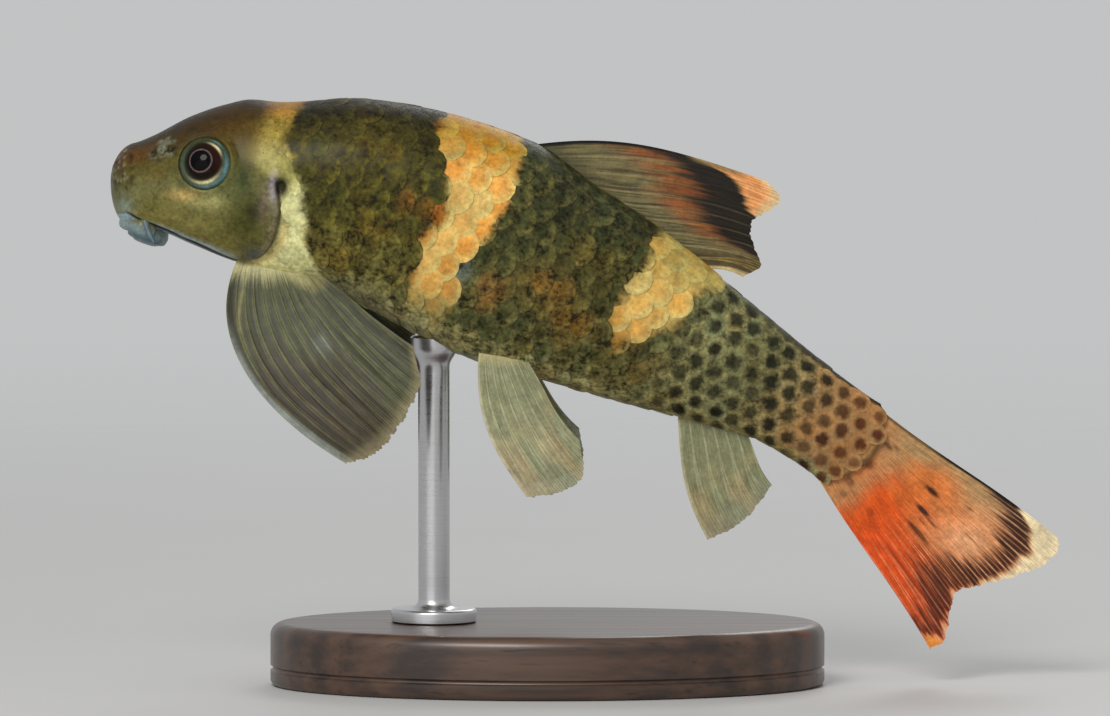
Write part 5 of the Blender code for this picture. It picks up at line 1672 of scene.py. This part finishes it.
def scale_material(mottle):
    """Scale skin: its centre colour, a paler rim at the rear, a dark spot, and fine growth lines.

    The place on a scale runs from -1 to 1 across and along it. Its distance from the middle, made
    uneven by noise, gives the rim's share, the growth lines as a sine, and painted shade at the edge
    near 1.
    """
    material, tree, shader = new_material("wet_scales", **WET)
    place = object_place(tree)
    centre, amount = painted(tree, "centre_tint")
    rim, _ = painted(tree, "rim_tint")
    spot, spotted = painted(tree, "spot_tint")
    own = add(tree, "ShaderNodeUVMap", uv_map="scale").outputs[0]
    own = add(tree, "ShaderNodeSeparateXYZ", {0: own}).outputs
    across, along = off_centre(tree, own[0], 2.0), off_centre(tree, own[1], 2.0)
    wander = off_centre(tree, noise(tree, place, 1500.0, 4.0, 0.75), 1.35)
    from_middle = hypot(tree, across, along)
    radius = plus(tree, from_middle, wander)
    leaning = plus(tree, times(tree, along, 0.42), times(tree, across, 0.34))
    rearwards = spread(tree, leaning, -0.35, 0.55, 0.30, 1.0)
    rim_share = times(tree, spread(tree, radius, 0.30, 1.05), rearwards)
    colour = blend_colours(tree, rim_share, centre, rim)
    # Painted shade: each scale's edge darkened, least where it is spotted.
    edge_shade = times(tree, spread(tree, from_middle, 0.84, 1.0, 0.0, 0.50), amount)
    edge_shade = times(tree, times(tree, edge_shade, amount), math(tree, "SUBTRACT", 1.0, spotted))
    colour = blend_colours(tree, edge_shade, colour, (0.03, 0.024, 0.012, 1))
    spot_y = math(tree, "DIVIDE", math(tree, "SUBTRACT", along, 0.34), 0.45)
    from_spot = plus(tree, hypot(tree, math(tree, "DIVIDE", across, 0.56), spot_y), wander)
    spot_share = times(tree, spread(tree, from_spot, 0.50, 1.30, 0.96, 0.0), spotted)
    colour = blend_colours(tree, spot_share, colour, spot)
    warm = times(tree, spread(tree, noise(tree, place, 620.0, 3.0), 0.46, 0.68), 0.30)
    inputs = {0: colour, 1: (1.20, 0.95, 0.70)}
    browner = add(tree, "ShaderNodeVectorMath", inputs, operation="MULTIPLY").outputs[0]
    colour = blend_colours(tree, times(tree, warm, amount), colour, browner)
    colour, grain = mottled(tree, mottle, colour, 1150.0, 3400.0, times(tree, amount, 1.7))
    height = plus(tree, times(tree, math(tree, "SINE", times(tree, radius, 46.0)), 0.15), grain)
    finish(tree, shader, colour, (grain, 0.36, 0.60), (height, 0.30, 0.00006))
    return material


def fin_material_of(mottle):
    """Thin fin skin: its painted tone and opacity, with fine streaks along the rays."""
    values = {"Coat_Weight": 0.05, "Coat_Roughness": 0.3, "Specular_IOR_Level": 0.2}
    material, tree, shader = new_material("ray_fin_skin", **values)
    colour, opacity = painted(tree)
    on_fin = add(tree, "ShaderNodeUVMap", uv_map="lay").outputs[0]
    streak = noise(tree, stretched(tree, on_fin, 150.0, 9.0, 1.0), 1.0, 2.0)
    inputs = {0: mottled(tree, mottle, colour, 900.0, 4200.0, 0.45)[0]}
    inputs["Scale"] = spread(tree, streak, 0.3, 0.7, 0.80, 1.20)
    streaked = add(tree, "ShaderNodeVectorMath", inputs, operation="SCALE").outputs[0]
    finish(tree, shader, streaked, (streak, 0.38, 0.55), (streak, 0.25, 0.00006), opacity)
    return material


def eye_material(mottle):
    """Wet eye: painted rings with faint fibres, under a clear coat."""
    values = {"Coat_Weight": 0.16, "Coat_Roughness": 0.04, "Specular_IOR_Level": 0.02}
    material, tree, shader = new_material("wet_eye", Roughness=0.5, **values)
    finish(tree, shader, mottled(tree, mottle, painted(tree)[0], 1500.0, 6000.0, 0.45)[0])
    return material


def soft_skin_material(mottle):
    """Bare lip and barbel skin: its painted tone, softly mottled, wet and slightly translucent."""
    values = {"Coat_Weight": 0.18, "Coat_Roughness": 0.22, "Specular_IOR_Level": 0.25}
    inside = {"Subsurface_Weight": 0.25, "Subsurface_Radius": (0.0008, 0.0006, 0.0006)}
    material, tree, shader = new_material("soft_lip_skin", **values, **inside)
    colour, height = mottled(tree, mottle, painted(tree)[0], 1300.0, 4800.0, 0.5)
    finish(tree, shader, colour, (height, 0.30, 0.50), (height, 0.4, 0.00008))
    return material


def wood_material():
    """Dark stained wood: long grain along X by stretched noise, open pores and satin lacquer."""
    material, tree, shader = new_material("dark_stained_wood", Coat_Weight=0.35, Coat_Roughness=0.22)
    place = object_place(tree)
    long_grain = stretched(tree, place, 30.0, 700.0, 700.0)
    across = add(tree, "ShaderNodeSeparateXYZ", {0: place}).outputs[1]
    warp = times(tree, noise(tree, stretched(tree, place, 18.0, 90.0, 90.0), 1.0, 2.0), 14.0)
    bands = math(tree, "SINE", plus(tree, times(tree, across, 2600.0), warp))
    grain = noise(tree, long_grain, 1.0, 5.0, 0.6)
    pores = spread(tree, noise(tree, long_grain, 2.2, 2.0), 0.60, 0.72)
    share = spread(tree, plus(tree, times(tree, bands, 0.08), grain), 0.28, 0.74)
    colour = blend_colours(tree, share, (0.022, 0.011, 0.007, 1), (0.085, 0.042, 0.022, 1))
    colour = blend_colours(tree, times(tree, pores, 0.6), colour, (0.010, 0.005, 0.003, 1))
    height = math(tree, "SUBTRACT", grain, pores)
    finish(tree, shader, colour, (grain, 0.32, 0.46), (height, 0.2, 0.00006))
    return material


def steel_material():
    """Brushed steel: fine lines round the rod in roughness, tone and relief."""
    material, tree, shader = new_material("brushed_steel", Metallic=1.0)
    place = object_place(tree)
    brushed = noise(tree, stretched(tree, place, 300.0, 300.0, 9000.0), 1.0, 3.0)
    smudge = noise(tree, place, 260.0, 2.0)
    colour = blend_colours(tree, brushed, (0.50, 0.50, 0.51, 1), (0.66, 0.66, 0.67, 1))
    both = plus(tree, times(tree, brushed, 0.16), times(tree, smudge, 0.16))
    tree.links.new(plus(tree, both, 0.14), shader.inputs["Roughness"])
    finish(tree, shader, colour, relief=(brushed, 0.12, 0.00004))
    return material


# Studio


# Radius of the floor, and where it starts to fade and has faded out, in metres.
FLOOR_RADIUS, FLOOR_FADE = 3.0, (0.06, 0.42)


def make_floor():
    """Pale floor disc that fades out with distance into the pale surroundings."""
    turn = np.arange(96) * 2 * np.pi / 96
    points = np.stack([np.cos(turn), np.sin(turn), 0 * turn], axis=1) * FLOOR_RADIUS
    data = bpy.data.meshes.new("floor")
    data.from_pydata(points.tolist(), [], [list(range(96))])
    floor = bpy.data.objects.new("floor", data)
    bpy.context.scene.collection.objects.link(floor)
    material, tree, shader = new_material("pale_floor", Roughness=0.6)
    place = object_place(tree)
    far = add(tree, "ShaderNodeVectorMath", {0: place}, operation="LENGTH").outputs["Value"]
    faint = noise(tree, place, 30.0, 4.0)
    colour = blend_colours(tree, faint, (0.50, 0.50, 0.495, 1), (0.53, 0.53, 0.525, 1))
    finish(tree, shader, colour, alpha=spread(tree, far, *FLOOR_FADE, 1.0, 0.0))
    data.materials.append(material)


# Lights: name, width and place in metres, power and colour. They are aimed at the model's middle.
LIGHTS = (
    ("key", 0.20, (-0.12, -0.34, 0.30), 1.25, (1.0, 0.97, 0.93)),
    ("fill", 0.50, (-0.20, -0.44, 0.02), 0.32, (0.97, 0.98, 1.0)),
    ("rim", 0.20, (0.10, 0.34, 0.26), 0.28, (1, 1, 1)),
)
MODEL_MIDDLE = (0.0, 0.0, 0.030)


def make_light(name, size, place, power, colour):
    """Round area light aimed at the model's middle."""
    data = bpy.data.lights.new(name, "AREA")
    data.shape, data.size, data.energy, data.color = "DISK", size, power, colour
    lamp = bpy.data.objects.new(name, data)
    aim(lamp, np.array(place), np.array(MODEL_MIDDLE))
    bpy.context.scene.collection.objects.link(lamp)


def aim(thing, place, target):
    """Sets a lamp or camera at a place with its -Z axis towards a target and its Y axis up."""
    thing.location = place
    thing.rotation_euler = Vector(target - place).to_track_quat("-Z", "Y").to_euler()


def make_studio():
    """Pale surroundings, a broad key light above the camera, a fill, a rim light, and the camera."""
    scene = bpy.context.scene
    world = bpy.data.worlds.new("studio")
    world.use_nodes = True
    world.node_tree.nodes["Background"].inputs[0].default_value = (0.60, 0.605, 0.61, 1)
    world.node_tree.nodes["Background"].inputs[1].default_value = 0.90
    scene.world = world
    scene.view_settings.view_transform = "Standard"
    for light in LIGHTS:
        make_light(*light)
    camera = bpy.data.objects.new("camera", bpy.data.cameras.new("camera"))
    camera.data.lens, camera.data.sensor_width = LENS, SENSOR
    camera.data.clip_start = 0.01
    off = FRAME_WIDTH * LENS / SENSOR * MM
    target = np.array([VIEW_X, 0.0, VIEW_Z]) * MM
    rise = np.radians(VIEW_UP)
    aim(camera, target + off * np.array([0.0, -np.cos(rise), np.sin(rise)]), target)
    scene.collection.objects.link(camera)
    scene.camera = camera


make_studio()
make_floor()
mottle_group, specks_group = make_mottle_group(), make_specks_group()
make_skin(skin_material(mottle_group, specks_group))
scale_skin = scale_material(mottle_group)
make_scales(scale_skin, "left")
make_scales(scale_skin, "right")
make_eye(eye_material(mottle_group))
soft_skin = soft_skin_material(mottle_group)
make_mouth(soft_skin)
make_barbels(soft_skin)
make_nostril_flaps(soft_skin)
make_fins(fin_material_of(mottle_group))
make_base(wood_material())
make_rod(steel_material())
